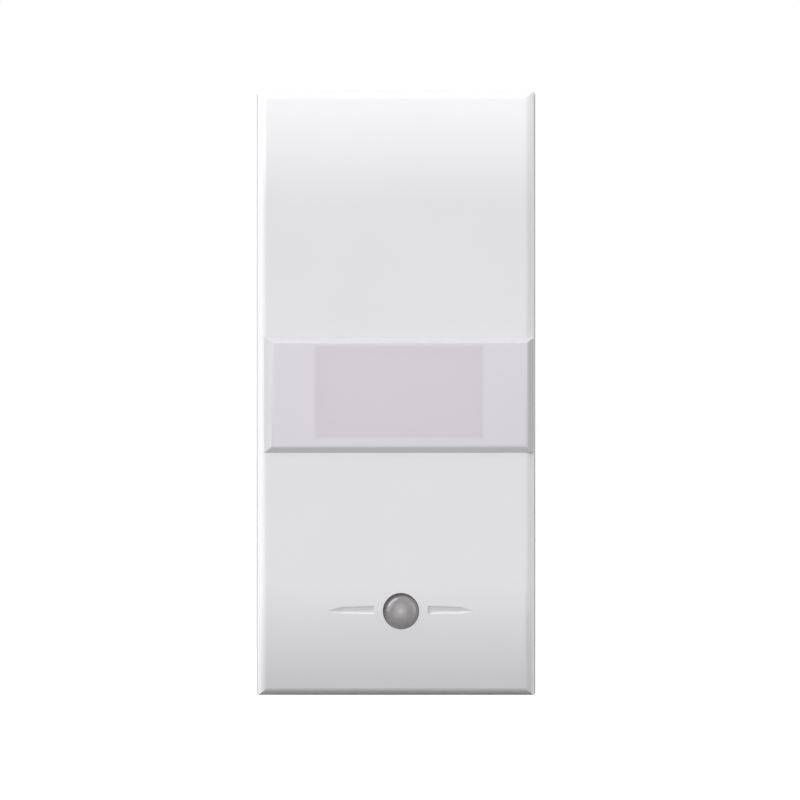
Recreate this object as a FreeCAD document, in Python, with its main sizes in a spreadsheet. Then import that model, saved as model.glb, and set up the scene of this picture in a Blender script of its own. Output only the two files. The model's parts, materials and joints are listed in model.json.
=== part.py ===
"""Illuminated push button switch, one wall module with a rocking key.

The origin is the middle of the seating plane, the rear face of the frame's flange.
+Z is up, +X is right and the key faces -Y. "Rise" is the distance in front of the
seating plane, along -Y, so that what lies behind the plane has a negative rise.
"""
import FreeCAD, Part
import math
import os
import Sketcher

Vector = FreeCAD.Vector

# Driving sizes in millimetres, angles in degrees
SIZES = {
    # module and frame
    "module_pitch": 22.5,
    "module_gap": 0.1,
    "frame_height": 48.5,
    "flange_thick": 2.0,
    "frame_corner": 0.25,
    "frame_edge": 0.1,
    "upstand_wall": 1.2,
    "ear_wall": 1.0,
    "deck_set_back": 0.5,
    "deck_thick": 1.5,
    "seat_side": 0.3,
    "seat_end": 2.75,
    "plinth_depth": 5.0,
    "plinth_wall": 1.2,
    # clips that hold the module in its mounting plate
    "clip_width": 6.0,
    "clip_slot": 0.6,
    "clip_reach": 1.2,
    "clip_land": 0.4,
    "clip_lead": 2.2,
    "plate_thick": 2.0,
    "plate_play": 0.1,
    # key cap
    "key_seam": 0.15,
    "key_rise": 9.5,
    "key_face_wall": 1.5,
    "key_skirt_wall": 0.9,
    "key_end_run": 8.5,
    "key_end_radius": 26.0,
    "key_edge_round": 0.7,
    "skirt_gap": 0.2,
    "key_side_play": 0.25,
    "key_end_play": 0.9,
    "press_play": 0.3,
    # rocking
    "rock_angle": 5.0,
    "pivot_rise": 4.0,
    "trunnion_radius": 1.2,
    "trunnion_play": 0.05,
    "trunnion_end_play": 0.3,
    # name window, label and diffuser
    "window_height": 9.16,
    "window_drop": 0.16,
    "window_bed": 0.4,
    "window_proud": 0.3,
    "window_bevel": 0.45,
    "window_inset": 0.03,
    "window_side_play": 0.1,
    "window_fit": 0.02,
    "leg_width": 1.0,
    "leg_height": 3.2,
    "leg_reach": 0.6,
    "label_width": 13.44,
    "label_height": 7.36,
    "label_shift": 0.24,
    "label_lift": 0.1,
    "label_fit": 0.1,
    "card_thick": 0.3,
    "diffuser_boss": 0.7,
    "diffuser_flange": 0.8,
    "diffuser_border": 0.9,
    # indicator lens and the grooves beside it
    "lens_shift": 0.4,
    "lens_inset": 6.67,
    "lens_radius": 1.42,
    "lens_fit": 0.03,
    "lens_sink": 0.2,
    "lens_dome": 0.5,
    "lens_flange": 0.5,
    "lens_seat_depth": 0.15,
    "stem_radius": 1.0,
    "stem_play": 0.6,
    "groove_start": 2.15,
    "groove_length": 3.7,
    "groove_upper": 0.41,
    "groove_lower": 0.22,
    "groove_bed": 0.15,
    "groove_depth": 0.2,
    "groove_shoulder": 2.6,
    "groove_shoulder_share": 0.8,
    "groove_tip_share": 0.06,
    # rocker carrier
    "carrier_play": 0.25,
    "carrier_end_play": 1.6,
    "carrier_thick": 2.0,
    "carrier_web": 1.2,
    "carrier_rim": 1.2,
    "carrier_ear": 1.4,
    "carrier_ear_wall": 0.8,
    "hook_inset": 8.0,
    "hook_width": 2.8,
    "hook_thick": 0.8,
    "hook_catch": 0.6,
    "hook_fit": 0.1,
    "nose_inset": 8.5,
    "nose_width": 4.0,
    "nose_thick": 2.4,
    "nose_above_board": 0.6,
    "nose_flat": 1.2,
    "nose_round": 0.5,
    # lamp board and what it carries
    "board_thick": 1.0,
    "board_fit": 0.15,
    "board_lip": 0.4,
    "board_lip_width": 6.0,
    "led_width": 3.0,
    "led_length": 2.6,
    "led_thick": 0.8,
    "led_spread": 3.2,
    "led_eye_radius": 1.0,
    "led_eye_rise": 0.2,
    "capacitor_width": 10.0,
    "capacitor_length": 5.5,
    "capacitor_thick": 3.2,
    "capacitor_inset": 5.45,
    "capacitor_corner": 0.45,
    "resistor_radius": 1.1,
    "resistor_length": 6.3,
    "resistor_lead": 0.3,
    "resistor_foot": 0.8,
    "resistor_lead_run": 1.4,
    "resistor_spacing": 8.3,
    "rectifier_width": 4.4,
    "rectifier_length": 3.8,
    "rectifier_thick": 1.8,
    "rectifier_place": 6.5,
    # plunger and contact bridge
    "plunger_width": 4.0,
    "plunger_height": 3.2,
    "plunger_fit": 0.08,
    "plunger_gap": 0.1,
    "plunger_board_gap": 0.6,
    "guide_wall": 1.0,
    "guide_depth": 2.0,
    "collar_play": 0.05,
    "collar_border": 0.9,
    "collar_thick": 0.8,
    "spindle_radius": 1.3,
    "spindle_fit": 0.08,
    "spindle_tail": 0.9,
    "contact_spring_length": 2.4,
    "bridge_length": 14.6,
    "bridge_width": 3.2,
    "bridge_thick": 0.6,
    "tip_radius": 1.2,
    "tip_thick": 0.5,
    "contact_gap_spare": 0.05,
    "clip_disc_radius": 2.4,
    "clip_disc_thick": 0.5,
    "clip_disc_gap": 0.05,
    # springs
    "return_wire": 0.4,
    "return_radius": 1.75,
    "return_turns": 8.0,
    "contact_wire": 0.3,
    "contact_radius": 1.9,
    "contact_turns": 2.5,
    "spring_seat": 0.05,
    "peg_length": 3.0,
    "peg_play": 0.25,
    # rear case
    "case_depth": 24.0,
    "case_wall": 1.2,
    "case_rear_wall": 1.4,
    "case_edge": 0.6,
    "mark_width": 16.0,
    "mark_height": 19.0,
    "mark_depth": 0.3,
    "lip_depth": 1.8,
    "lip_wall": 0.8,
    "lip_fit": 0.05,
    "snap_inset": 8.3,
    "snap_width": 3.0,
    "snap_depth": 1.2,
    "snap_reach": 0.85,
    "snap_fit": 0.2,
    "clip_clear": 1.2,
    "rib_thick": 1.2,
    "rib_rise": 12.0,
    "partition_thick": 1.0,
    # terminals
    "clamp_place": 5.6,
    "clamp_width": 6.0,
    "clamp_depth": 6.4,
    "clamp_length": 6.0,
    "clamp_wall": 0.9,
    "clamp_nut": 1.8,
    "clamp_play": 0.1,
    "clamp_end_play": 0.7,
    "screw_radius": 1.5,
    "screw_fit": 0.05,
    "screw_stop": 0.3,
    "screw_head_radius": 2.3,
    "screw_head_thick": 1.2,
    "screw_slot": 0.6,
    "screw_slot_depth": 0.6,
    "well_play": 0.3,
    "wire_radius": 1.4,
    # contact strips
    "strip_thick": 0.8,
    "strip_width": 3.0,
    "strip_fit": 0.05,
    "strip_tail": 1.6,
    "strip_overhang": 0.4,
    "tab_width": 2.0,
    "tab_height": 0.6,
    "tab_fit": 0.1,
}

# Places that follow from the sizes
PLACES = {
    # frame and key, seen from the front
    "frame_half_width": "(size.module_pitch - size.module_gap) / 2",
    "frame_half_height": "size.frame_height / 2",
    "key_half_width": "frame_half_width - size.key_seam",
    "key_half_height": "frame_half_height - size.key_seam",
    "key_inner_width": "key_half_width - size.key_skirt_wall",
    "key_inner_height": "key_half_height - size.key_skirt_wall",
    "upstand_outer": "key_inner_width - size.key_side_play",
    "upstand_inner": "upstand_outer - size.upstand_wall",
    "upstand_end_outer": "key_inner_height - size.key_end_play",
    "upstand_end_inner": "upstand_end_outer - size.upstand_wall",
    "body_half_width": "frame_half_width - size.seat_side",
    "body_half_height": "frame_half_height - size.seat_end",
    "deck_front": "-size.deck_set_back",
    "deck_back": "deck_front - size.deck_thick",
    "plinth_inner": "body_half_width - size.plinth_wall",
    "plinth_end_inner": "body_half_height - size.plinth_wall",
    # rises of the key
    "key_flat_half": "key_half_height - size.key_end_run",
    "key_end_rise": "size.key_rise - size.key_end_radius"
                    " + sqrt(size.key_end_radius ^ 2 - size.key_end_run ^ 2)",
    "key_inner_rise": "size.key_rise - size.key_face_wall",
    "key_inner_radius": "size.key_end_radius - size.key_face_wall",
    "key_inner_run": "key_inner_height - key_flat_half",
    "key_inner_end_rise": "key_inner_rise - key_inner_radius"
                          " + sqrt(key_inner_radius ^ 2 - key_inner_run ^ 2)",
    "skirt_rise": "size.flange_thick + size.skirt_gap",
    "skirt_low_rise": "skirt_rise + key_half_height * tan(size.rock_angle)",
    "upstand_rise": "key_inner_end_rise - key_inner_height * sin(size.rock_angle) - size.press_play",
    "bore_radius": "size.trunnion_radius + size.trunnion_play",
    "ear_radius": "bore_radius + size.ear_wall",
    # window and label
    "window_back": "size.key_rise - size.window_bed",
    "window_front": "size.key_rise + size.window_proud",
    "window_half_height": "size.window_height / 2",
    "window_half_width": "key_half_width - size.window_inset",
    "leg_inner": "carrier_half_width + size.window_side_play",
    "leg_place": "leg_inner + size.leg_width / 2",
    "diffuser_back": "key_inner_rise - size.diffuser_flange",
    "card_back": "key_inner_rise + size.diffuser_boss",
    # carrier
    "carrier_half_width": "upstand_inner - size.carrier_play",
    "carrier_half_length": "upstand_end_inner - size.carrier_end_play",
    "carrier_front": "diffuser_back",
    "carrier_back": "carrier_front - size.carrier_thick",
    "carrier_ear_radius": "size.trunnion_radius + size.carrier_ear_wall",
    "hook_place": "carrier_half_length - size.hook_inset",
    "hook_inner": "carrier_half_width - size.hook_thick",
    "hook_back": "carrier_back - size.hook_fit - size.hook_catch",
    "board_front": "deck_front + size.board_thick",
    "nose_rise": "board_front + size.nose_above_board",
    # lens
    "lens_place": "key_half_height - size.lens_inset",
    "lens_run": "max(lens_place - key_flat_half; 0)",
    "lens_front": "size.key_rise - size.key_end_radius + sqrt(size.key_end_radius ^ 2 - lens_run ^ 2)",
    "lens_back_limit": "key_inner_rise - key_inner_radius + sqrt(key_inner_radius ^ 2"
                       " - (lens_run + size.lens_radius + size.lens_flange) ^ 2)",
    "lens_flange_front": "lens_back_limit - size.lens_fit",
    "lens_flange_back": "carrier_front - size.lens_seat_depth",
    "led_front": "board_front + size.led_thick",
    "stem_end": "led_front + size.led_eye_rise + lens_place * sin(size.rock_angle) + size.stem_play",
    # board
    "board_half_width": "upstand_inner - size.board_fit",
    "board_half_height": "upstand_end_inner - size.board_fit",
    "capacitor_place": "board_half_height - size.capacitor_inset",
    "resistor_place": "capacitor_place - size.resistor_spacing",
    # plunger and bridge
    "nose_place": "body_half_height - size.nose_inset",
    "travel": "nose_place * size.rock_angle * pi / 180",
    "plunger_front": "nose_rise - size.plunger_gap",
    "guide_back": "deck_back - size.guide_depth",
    "collar_front": "guide_back - size.collar_play",
    "collar_back": "collar_front - size.collar_thick",
    "bridge_front": "collar_back - size.contact_spring_length",
    "bridge_back": "bridge_front - size.bridge_thick",
    "tip_back": "bridge_back - size.tip_thick",
    "fixed_tip_front": "tip_back - travel - size.contact_gap_spare",
    "fixed_tip_back": "fixed_tip_front - size.tip_thick",
    "disc_front": "bridge_back - size.clip_disc_gap",
    "disc_back": "disc_front - size.clip_disc_thick",
    "spindle_end": "disc_back - size.spindle_tail",
    # rear case and terminals
    "case_front": "-size.plinth_depth",
    "case_back": "-size.case_depth",
    "case_floor": "case_back + size.case_rear_wall",
    "case_inner": "body_half_width - size.case_wall",
    "case_end_inner": "body_half_height - size.case_wall",
    "rib_front": "-size.rib_rise",
    "shelf_back": "case_front - size.lip_wall",
    "lip_front": "case_front + size.lip_depth",
    "lip_outer": "plinth_inner - size.lip_fit",
    "lip_end_outer": "plinth_end_inner - size.lip_fit",
    "snap_place": "plinth_end_inner - size.snap_inset",
    "snap_middle": "case_front + size.lip_depth / 2",
    "clamp_end_place": "case_end_inner - size.clamp_end_play - size.clamp_length / 2",
    "clamp_back": "case_floor + size.clamp_play",
    "clamp_front": "clamp_back + size.clamp_depth",
    "clamp_window_front": "clamp_front - size.clamp_wall",
    "clamp_window_back": "clamp_back + size.clamp_nut",
    "foot_front": "clamp_window_front - size.strip_fit",
    "foot_back": "foot_front - size.strip_thick",
    "screw_tip": "clamp_window_back + size.screw_stop",
    "wire_rise": "(foot_back + screw_tip) / 2",
    "leg_far": "clamp_end_place - size.clamp_length / 2 - size.strip_tail",
    "leg_near": "leg_far - size.strip_thick",
    "partition_outer": "leg_near - size.strip_fit",
    "partition_inner": "partition_outer - size.partition_thick",
    "strip_end": "clamp_end_place + size.clamp_length / 2",
}

SIDES = (("left", "-1"), ("right", "1"))
TERMINALS = (("1", "-1", "1"), ("2", "1", "1"), ("3", "-1", "-1"), ("4", "1", "-1"))

doc = FreeCAD.newDocument("switch")


def make_values():
    """The sheet of driving sizes and the set of places worked out from them."""
    sheet = doc.addObject("Spreadsheet::Sheet", "size")
    for row, (name, number) in enumerate(SIZES.items(), start=1):
        sheet.set(f"A{row}", name)
        sheet.set(f"B{row}", str(number))
        sheet.setAlias(f"B{row}", name)
    doc.recompute()
    places = doc.addObject("App::VarSet", "at")
    for name in PLACES:
        places.addProperty("App::PropertyFloat", name, "Places")
    for name, expression in PLACES.items():
        places.setExpression(name, expression)
    doc.recompute()
    return places


at = make_values()


def value(expression):
    """The number that an expression gives now."""
    return float(at.evalExpression(expression))


def new_body(name):
    body = doc.addObject("PartDesign::Body", name)
    body.Label = name
    return body


def origin_plane(body, role):
    return next(item for item in body.Origin.OriginFeatures if item.Role == role)


def arc_between(start, end, radius, inside):
    """An arc that bulges away from the point inside."""
    middle = (start + end) / 2
    across = Vector(start.y - end.y, end.x - start.x, 0).normalize()
    if across.dot(inside - middle) > 0:
        across = -across
    half_chord = start.distanceToPoint(end) / 2
    height = radius - math.sqrt(radius ** 2 - half_chord ** 2)
    return Part.Arc(start, middle + across * height, end)


def outline(body, name, role, level, corners):
    """A closed sketch on an origin plane. A corner is two expressions, across and up, and a
    third makes the edge that leaves it an arc of that radius."""
    sketch = body.newObject("Sketcher::SketchObject", name)
    sketch.AttachmentSupport = [(origin_plane(body, role), "")]
    sketch.MapMode = "FlatFace"
    sketch.setExpression("AttachmentOffset.Base.z", level)
    points = [Vector(value(corner[0]), value(corner[1]), 0) for corner in corners]
    inside = Vector()
    for point in points:
        inside += point / len(points)
    count = len(corners)
    ends = []
    for index, corner in enumerate(corners):
        start = points[index]
        end = points[(index + 1) % count]
        if len(corner) == 3:
            edge = arc_between(start, end, value(corner[2]), inside)
        else:
            edge = Part.LineSegment(start, end)
        sketch.addGeometry(edge, False)
        first = 1 if sketch.getPoint(index, 1).distanceToPoint(start) < 1e-6 else 2
        ends.append((first, 3 - first))
    for index in range(count):
        after = (index + 1) % count
        joint = Sketcher.Constraint("Coincident", index, ends[index][1], after, ends[after][0])
        sketch.addConstraint(joint)
    for index, corner in enumerate(corners):
        for kind, expression in zip(("DistanceX", "DistanceY"), corner):
            distance = Sketcher.Constraint(kind, -1, 1, index, ends[index][0], value(expression))
            number = sketch.addConstraint(distance)
            sketch.setExpression(f"Constraints[{number}]", expression)
        if len(corner) == 3:
            number = sketch.addConstraint(Sketcher.Constraint("Radius", index, value(corner[2])))
            sketch.setExpression(f"Constraints[{number}]", corner[2])
    return sketch


def extrude(body, name, sketch, length, cut=False, both=False, back=False):
    """A pad or pocket of a sketch, along the sketch's normal unless back is set."""
    feature = body.newObject("PartDesign::Pocket" if cut else "PartDesign::Pad", name)
    feature.Profile = sketch
    feature.setExpression("Length", length)
    if both:
        feature.SideType = "Symmetric"
    feature.Reversed = cut != back
    return feature


def face_corners(half_width, half_height):
    return [
        (f"-({half_width})", f"-({half_height})"),
        (half_width, f"-({half_height})"),
        (half_width, half_height),
        (f"-({half_width})", half_height),
    ]


def slab(body, name, half_width, half_height, low, high, cut=False):
    """A rectangle centred on the module's middle, from rise low to rise high."""
    sketch = outline(body, f"{name}_outline", "XZ_Plane", low, face_corners(half_width, half_height))
    return extrude(body, name, sketch, f"({high}) - ({low})", cut)


def block(body, name, x, rise, z, cut=False):
    """A box given by centre and width across, low and high rise, and centre and height."""
    box = body.newObject(f"PartDesign::{'Subtractive' if cut else 'Additive'}Box", name)
    box.setExpression("Length", x[1])
    box.setExpression("Width", f"({rise[1]}) - ({rise[0]})")
    box.setExpression("Height", z[1])
    box.setExpression("Placement.Base.x", f"{x[0]} - ({x[1]}) / 2")
    box.setExpression("Placement.Base.y", f"-({rise[1]})")
    box.setExpression("Placement.Base.z", f"{z[0]} - ({z[1]}) / 2")
    return box


TURNS = {
    "x": FreeCAD.Rotation(Vector(0, 1, 0), 90),
    "rise": FreeCAD.Rotation(Vector(1, 0, 0), 90),
    "z": FreeCAD.Rotation(),
}


def rod(body, name, axis, start, length, radius, cut=False):
    """A cylinder along x, z or the rise, from a start given as x, rise and z."""
    cylinder = body.newObject(f"PartDesign::{'Subtractive' if cut else 'Additive'}Cylinder", name)
    cylinder.Placement = FreeCAD.Placement(Vector(), TURNS[axis])
    cylinder.setExpression("Radius", radius)
    cylinder.setExpression("Height", length)
    cylinder.setExpression("Placement.Base.x", start[0])
    cylinder.setExpression("Placement.Base.y", f"-({start[1]})")
    cylinder.setExpression("Placement.Base.z", start[2])
    return cylinder


def dress(body, kind, name, size_property, size, chosen):
    """A fillet or chamfer on the edges of the tip that the test picks."""
    doc.recompute()
    base = body.Tip
    names = [f"Edge{index}" for index, edge in enumerate(base.Shape.Edges, start=1) if chosen(edge)]
    feature = body.newObject(f"PartDesign::{kind}", name)
    feature.Base = (base, names)
    feature.setExpression(size_property, size)
    return feature


def lies_along_rise(edge):
    box = edge.BoundBox
    return box.YLength > 1e-3 and box.XLength < 1e-3 and box.ZLength < 1e-3


def lies_at_rise(edge, rise):
    box = edge.BoundBox
    return abs(box.YMin + rise) < 1e-3 and abs(box.YMax + rise) < 1e-3


def make_front_frame():
    body = new_body("front_frame")
    slab(body, "flange", "at.frame_half_width", "at.frame_half_height", "0", "size.flange_thick")
    dress(body, "Fillet", "corners", "Radius", "size.frame_corner", lies_along_rise)
    front = value("size.flange_thick")
    dress(body, "Fillet", "front_edge", "Radius", "size.frame_edge",
          lambda edge: lies_at_rise(edge, front))
    slab(body, "upstand", "at.upstand_outer", "at.upstand_end_outer", "0", "at.upstand_rise")
    ear_height = "2 * at.ear_radius"
    block(body, "ears", ("0", "2 * at.upstand_outer"), ("0", "size.pivot_rise"), ("0", ear_height))
    rod(body, "ear_tops", "x", ("-at.upstand_outer", "size.pivot_rise", "0"),
        "2 * at.upstand_outer", "at.ear_radius")
    slab(body, "plinth", "at.body_half_width", "at.body_half_height", "-size.plinth_depth", "0")
    slab(body, "key_well", "at.upstand_inner", "at.upstand_end_inner", "at.deck_front",
         "size.pivot_rise + at.ear_radius", cut=True)
    slab(body, "plinth_well", "at.plinth_inner", "at.plinth_end_inner", "-size.plinth_depth",
         "at.deck_back", cut=True)
    rod(body, "pivot_bores", "x", ("-at.upstand_outer", "size.pivot_rise", "0"),
        "2 * at.upstand_outer", "at.bore_radius", cut=True)
    plunger_z = "-at.nose_place"
    block(body, "guide", ("0", "size.plunger_width + 2 * size.guide_wall"),
          ("at.guide_back", "at.deck_back"),
          (plunger_z, "size.plunger_height + 2 * size.guide_wall"))
    block(body, "guide_hole", ("0", "size.plunger_width + 2 * size.plunger_fit"),
          ("at.guide_back", "at.deck_front"),
          (plunger_z, "size.plunger_height + 2 * size.plunger_fit"), cut=True)
    for side, sign in SIDES:
        block(body, f"tab_slot_{side}",
              (f"{sign} * size.clamp_place", "size.tab_width + 2 * size.tab_fit"),
              ("at.deck_back", "at.deck_front"),
              ("at.leg_near + size.strip_thick / 2", "size.strip_thick + 2 * size.tab_fit"), cut=True)
    for end, sign in (("top", "1"), ("bottom", "-1")):
        block(body, f"board_lip_{end}", ("0", "size.board_lip_width"),
              ("at.board_front + size.board_fit", "at.board_front + size.board_fit + size.board_lip"),
              (f"{sign} * (at.upstand_end_inner - size.board_lip / 2)", "size.board_lip"))
        make_plate_clip(body, end, sign)
        for side, across in SIDES:
            block(body, f"snap_window_{end}_{side}",
                  (f"{across} * (at.body_half_width - size.plinth_wall / 2)", "size.plinth_wall"),
                  ("at.snap_middle - size.snap_depth / 2 - size.snap_fit",
                   "at.snap_middle + size.snap_depth / 2 + size.snap_fit"),
                  (f"{sign} * at.snap_place", "size.snap_width + 2 * size.snap_fit"), cut=True)


def make_plate_clip(body, end, sign):
    """A tongue in the plinth's end wall with a wedge that catches behind the mounting plate."""
    catch = "-(size.plate_thick + size.plate_play)"
    wedge = outline(body, f"clip_{end}_outline", "YZ_Plane", "0", [
        (f"-({catch})", f"{sign} * (at.body_half_height - size.plinth_wall / 2)"),
        (f"-({catch})", f"{sign} * (at.body_half_height + size.clip_reach)"),
        (f"-({catch}) + size.clip_land", f"{sign} * (at.body_half_height + size.clip_reach)"),
        (f"-({catch}) + size.clip_land + size.clip_lead", f"{sign} * at.body_half_height"),
        (f"-({catch}) + size.clip_land + size.clip_lead",
         f"{sign} * (at.body_half_height - size.plinth_wall / 2)"),
    ])
    extrude(body, f"clip_{end}", wedge, "size.clip_width", both=True)
    for side, across in SIDES:
        block(body, f"clip_slot_{end}_{side}",
              (f"{across} * (size.clip_width + size.clip_slot) / 2", "size.clip_slot"),
              ("-size.plinth_depth", "at.deck_back"),
              (f"{sign} * (at.body_half_height - size.plinth_wall / 2)", "size.plinth_wall"), cut=True)


def make_button_cap():
    body = new_body("button_cap")
    top = "at.key_half_height"
    flat = "at.key_flat_half"
    side = outline(body, "side_outline", "YZ_Plane", "0", [
        ("-at.skirt_rise", "0"),
        ("-at.skirt_rise", top),
        ("-at.key_end_rise", top, "size.key_end_radius"),
        ("-size.key_rise", flat),
        ("-size.key_rise", f"-{flat}", "size.key_end_radius"),
        ("-at.key_end_rise", f"-{top}"),
        ("-at.skirt_low_rise", f"-{top}"),
    ])
    extrude(body, "shell", side, "2 * at.key_half_width", both=True)
    end_rise = value("at.key_end_rise")
    dress(body, "Fillet", "outer_edges", "Radius", "size.key_edge_round",
          lambda edge: edge.BoundBox.YMax < 1e-3 - end_rise)
    inner_top = "at.key_inner_height"
    inner = outline(body, "inner_outline", "YZ_Plane", "0", [
        ("0", inner_top),
        ("-at.key_inner_end_rise", inner_top, "at.key_inner_radius"),
        ("-at.key_inner_rise", flat),
        ("-at.key_inner_rise", f"-{flat}", "at.key_inner_radius"),
        ("-at.key_inner_end_rise", f"-{inner_top}"),
        ("0", f"-{inner_top}"),
    ])
    extrude(body, "hollow", inner, "2 * at.key_inner_width", cut=True, both=True)
    block(body, "window_bed", ("0", "2 * at.key_half_width"),
          ("at.window_back", "size.key_rise"),
          ("-size.window_drop", "size.window_height + 2 * size.window_fit"), cut=True)
    block(body, "label_opening", ("size.label_shift", "size.label_width"),
          ("at.key_inner_rise", "at.window_back"), ("size.label_lift", "size.label_height"), cut=True)
    for side_name, sign in SIDES:
        block(body, f"leg_slot_{side_name}",
              (f"{sign} * at.leg_place", "size.leg_width + 2 * size.window_fit"),
              ("at.key_inner_rise", "at.window_back"),
              ("-size.window_drop", "size.leg_height + 2 * size.window_fit"), cut=True)
        for end, up in (("upper", "1"), ("lower", "-1")):
            make_cap_hook(body, f"{end}_{side_name}", sign, up)
    rod(body, "lens_hole", "rise", ("size.lens_shift", "at.key_inner_end_rise", "-at.lens_place"),
        "size.key_rise - at.key_inner_end_rise", "size.lens_radius + size.lens_fit", cut=True)
    for side_name, sign in SIDES:
        make_groove(body, side_name, sign)


def make_groove(body, name, sign):
    """A groove beside the lens, V shaped in section, that narrows past its shoulder to a fine tip."""
    sections = []
    for part, run, share in (("near", "0", "1"),
                             ("shoulder", "size.groove_shoulder", "size.groove_shoulder_share"),
                             ("tip", "size.groove_length", "size.groove_tip_share")):
        across = f"size.lens_shift + {sign} * (size.groove_start + {run})"
        upper = f"-at.lens_place + {share} * size.groove_upper"
        lower = f"-at.lens_place - {share} * size.groove_lower"
        sections.append(outline(body, f"groove_{name}_{part}", "YZ_Plane", across, [
            ("-at.lens_front - size.groove_depth", upper),
            ("-at.lens_front", upper),
            (f"-at.lens_front + {share} * size.groove_depth",
             f"-at.lens_place - {share} * size.groove_bed"),
            ("-at.lens_front", lower),
            ("-at.lens_front - size.groove_depth", lower),
        ]))
    loft = body.newObject("PartDesign::SubtractiveLoft", f"groove_{name}")
    loft.Profile = sections[0]
    loft.Sections = sections[1:]
    loft.Ruled = True


def make_cap_hook(body, name, sign, up):
    """A post inside the cap that snaps behind the carrier's edge."""
    place = (f"{up} * at.hook_place", "size.hook_width")
    block(body, f"hook_post_{name}",
          (f"{sign} * (at.carrier_half_width - size.hook_thick / 2)", "size.hook_thick"),
          ("at.hook_back", "at.key_inner_rise"), place)
    block(body, f"hook_catch_{name}",
          (f"{sign} * (at.hook_inner - size.hook_catch / 2)", "size.hook_catch"),
          ("at.hook_back", "at.hook_back + size.hook_catch"), place)


def make_name_window():
    body = new_body("name_window")
    block(body, "pane", ("0", "2 * at.window_half_width"), ("at.window_back", "size.key_rise"),
          ("-size.window_drop", "size.window_height"))
    low, high = "-size.window_drop - at.window_half_height", "at.window_half_height - size.window_drop"
    bevel = body.newObject("PartDesign::AdditiveWedge", "bevelled_front")
    for corner, expression in (
            ("Ymin", "-at.window_front"), ("Ymax", "-size.key_rise"),
            ("Xmin", "size.window_bevel - at.window_half_width"),
            ("Xmax", "at.window_half_width - size.window_bevel"),
            ("Zmin", f"{low} + size.window_bevel"), ("Zmax", f"{high} - size.window_bevel"),
            ("X2min", "-at.window_half_width"), ("X2max", "at.window_half_width"),
            ("Z2min", low), ("Z2max", high)):
        bevel.setExpression(corner, expression)
    for side, sign in SIDES:
        block(body, f"leg_{side}", (f"{sign} * at.leg_place", "size.leg_width"),
              ("at.key_inner_rise - size.leg_reach", "at.window_back"),
              ("-size.window_drop", "size.leg_height"))


def make_label_parts():
    card = new_body("name_card")
    card_width = "size.label_width - 2 * size.label_fit"
    card_height = "size.label_height - 2 * size.label_fit"
    block(card, "card", ("size.label_shift", card_width),
          ("at.card_back", "at.card_back + size.card_thick"), ("size.label_lift", card_height))
    diffuser = new_body("label_diffuser")
    block(diffuser, "flange", ("size.label_shift", "size.label_width + 2 * size.diffuser_border"),
          ("at.diffuser_back", "at.key_inner_rise"),
          ("size.label_lift", "size.label_height + 2 * size.diffuser_border"))
    block(diffuser, "boss", ("size.label_shift", card_width),
          ("at.key_inner_rise", "at.card_back"), ("size.label_lift", card_height))


def make_indicator_lens():
    """A head with a domed front, a flange behind the cap's wall and a light guide."""
    body = new_body("indicator_lens")
    edge_rise = "(at.lens_front - size.lens_sink)"
    crown = f"({edge_rise} + size.lens_dome)"
    dome_radius = "((size.lens_radius ^ 2 + size.lens_dome ^ 2) / (2 * size.lens_dome))"
    across = "size.lens_shift"
    sketch = outline(body, "half_outline", "YZ_Plane", across, [
        ("-at.stem_end", "-at.lens_place"),
        ("-at.stem_end", "size.stem_radius - at.lens_place"),
        ("-at.lens_flange_back", "size.stem_radius - at.lens_place"),
        ("-at.lens_flange_back", "size.lens_radius + size.lens_flange - at.lens_place"),
        ("-at.lens_flange_front", "size.lens_radius + size.lens_flange - at.lens_place"),
        ("-at.lens_flange_front", "size.lens_radius - at.lens_place"),
        (f"-{edge_rise}", "size.lens_radius - at.lens_place", dome_radius),
        (f"-{crown}", "-at.lens_place"),
    ])
    turned = body.newObject("PartDesign::Revolution", "turned")
    turned.Profile = sketch
    turned.ReferenceAxis = (sketch, ["Edge8"])
    turned.Angle = 360


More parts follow.
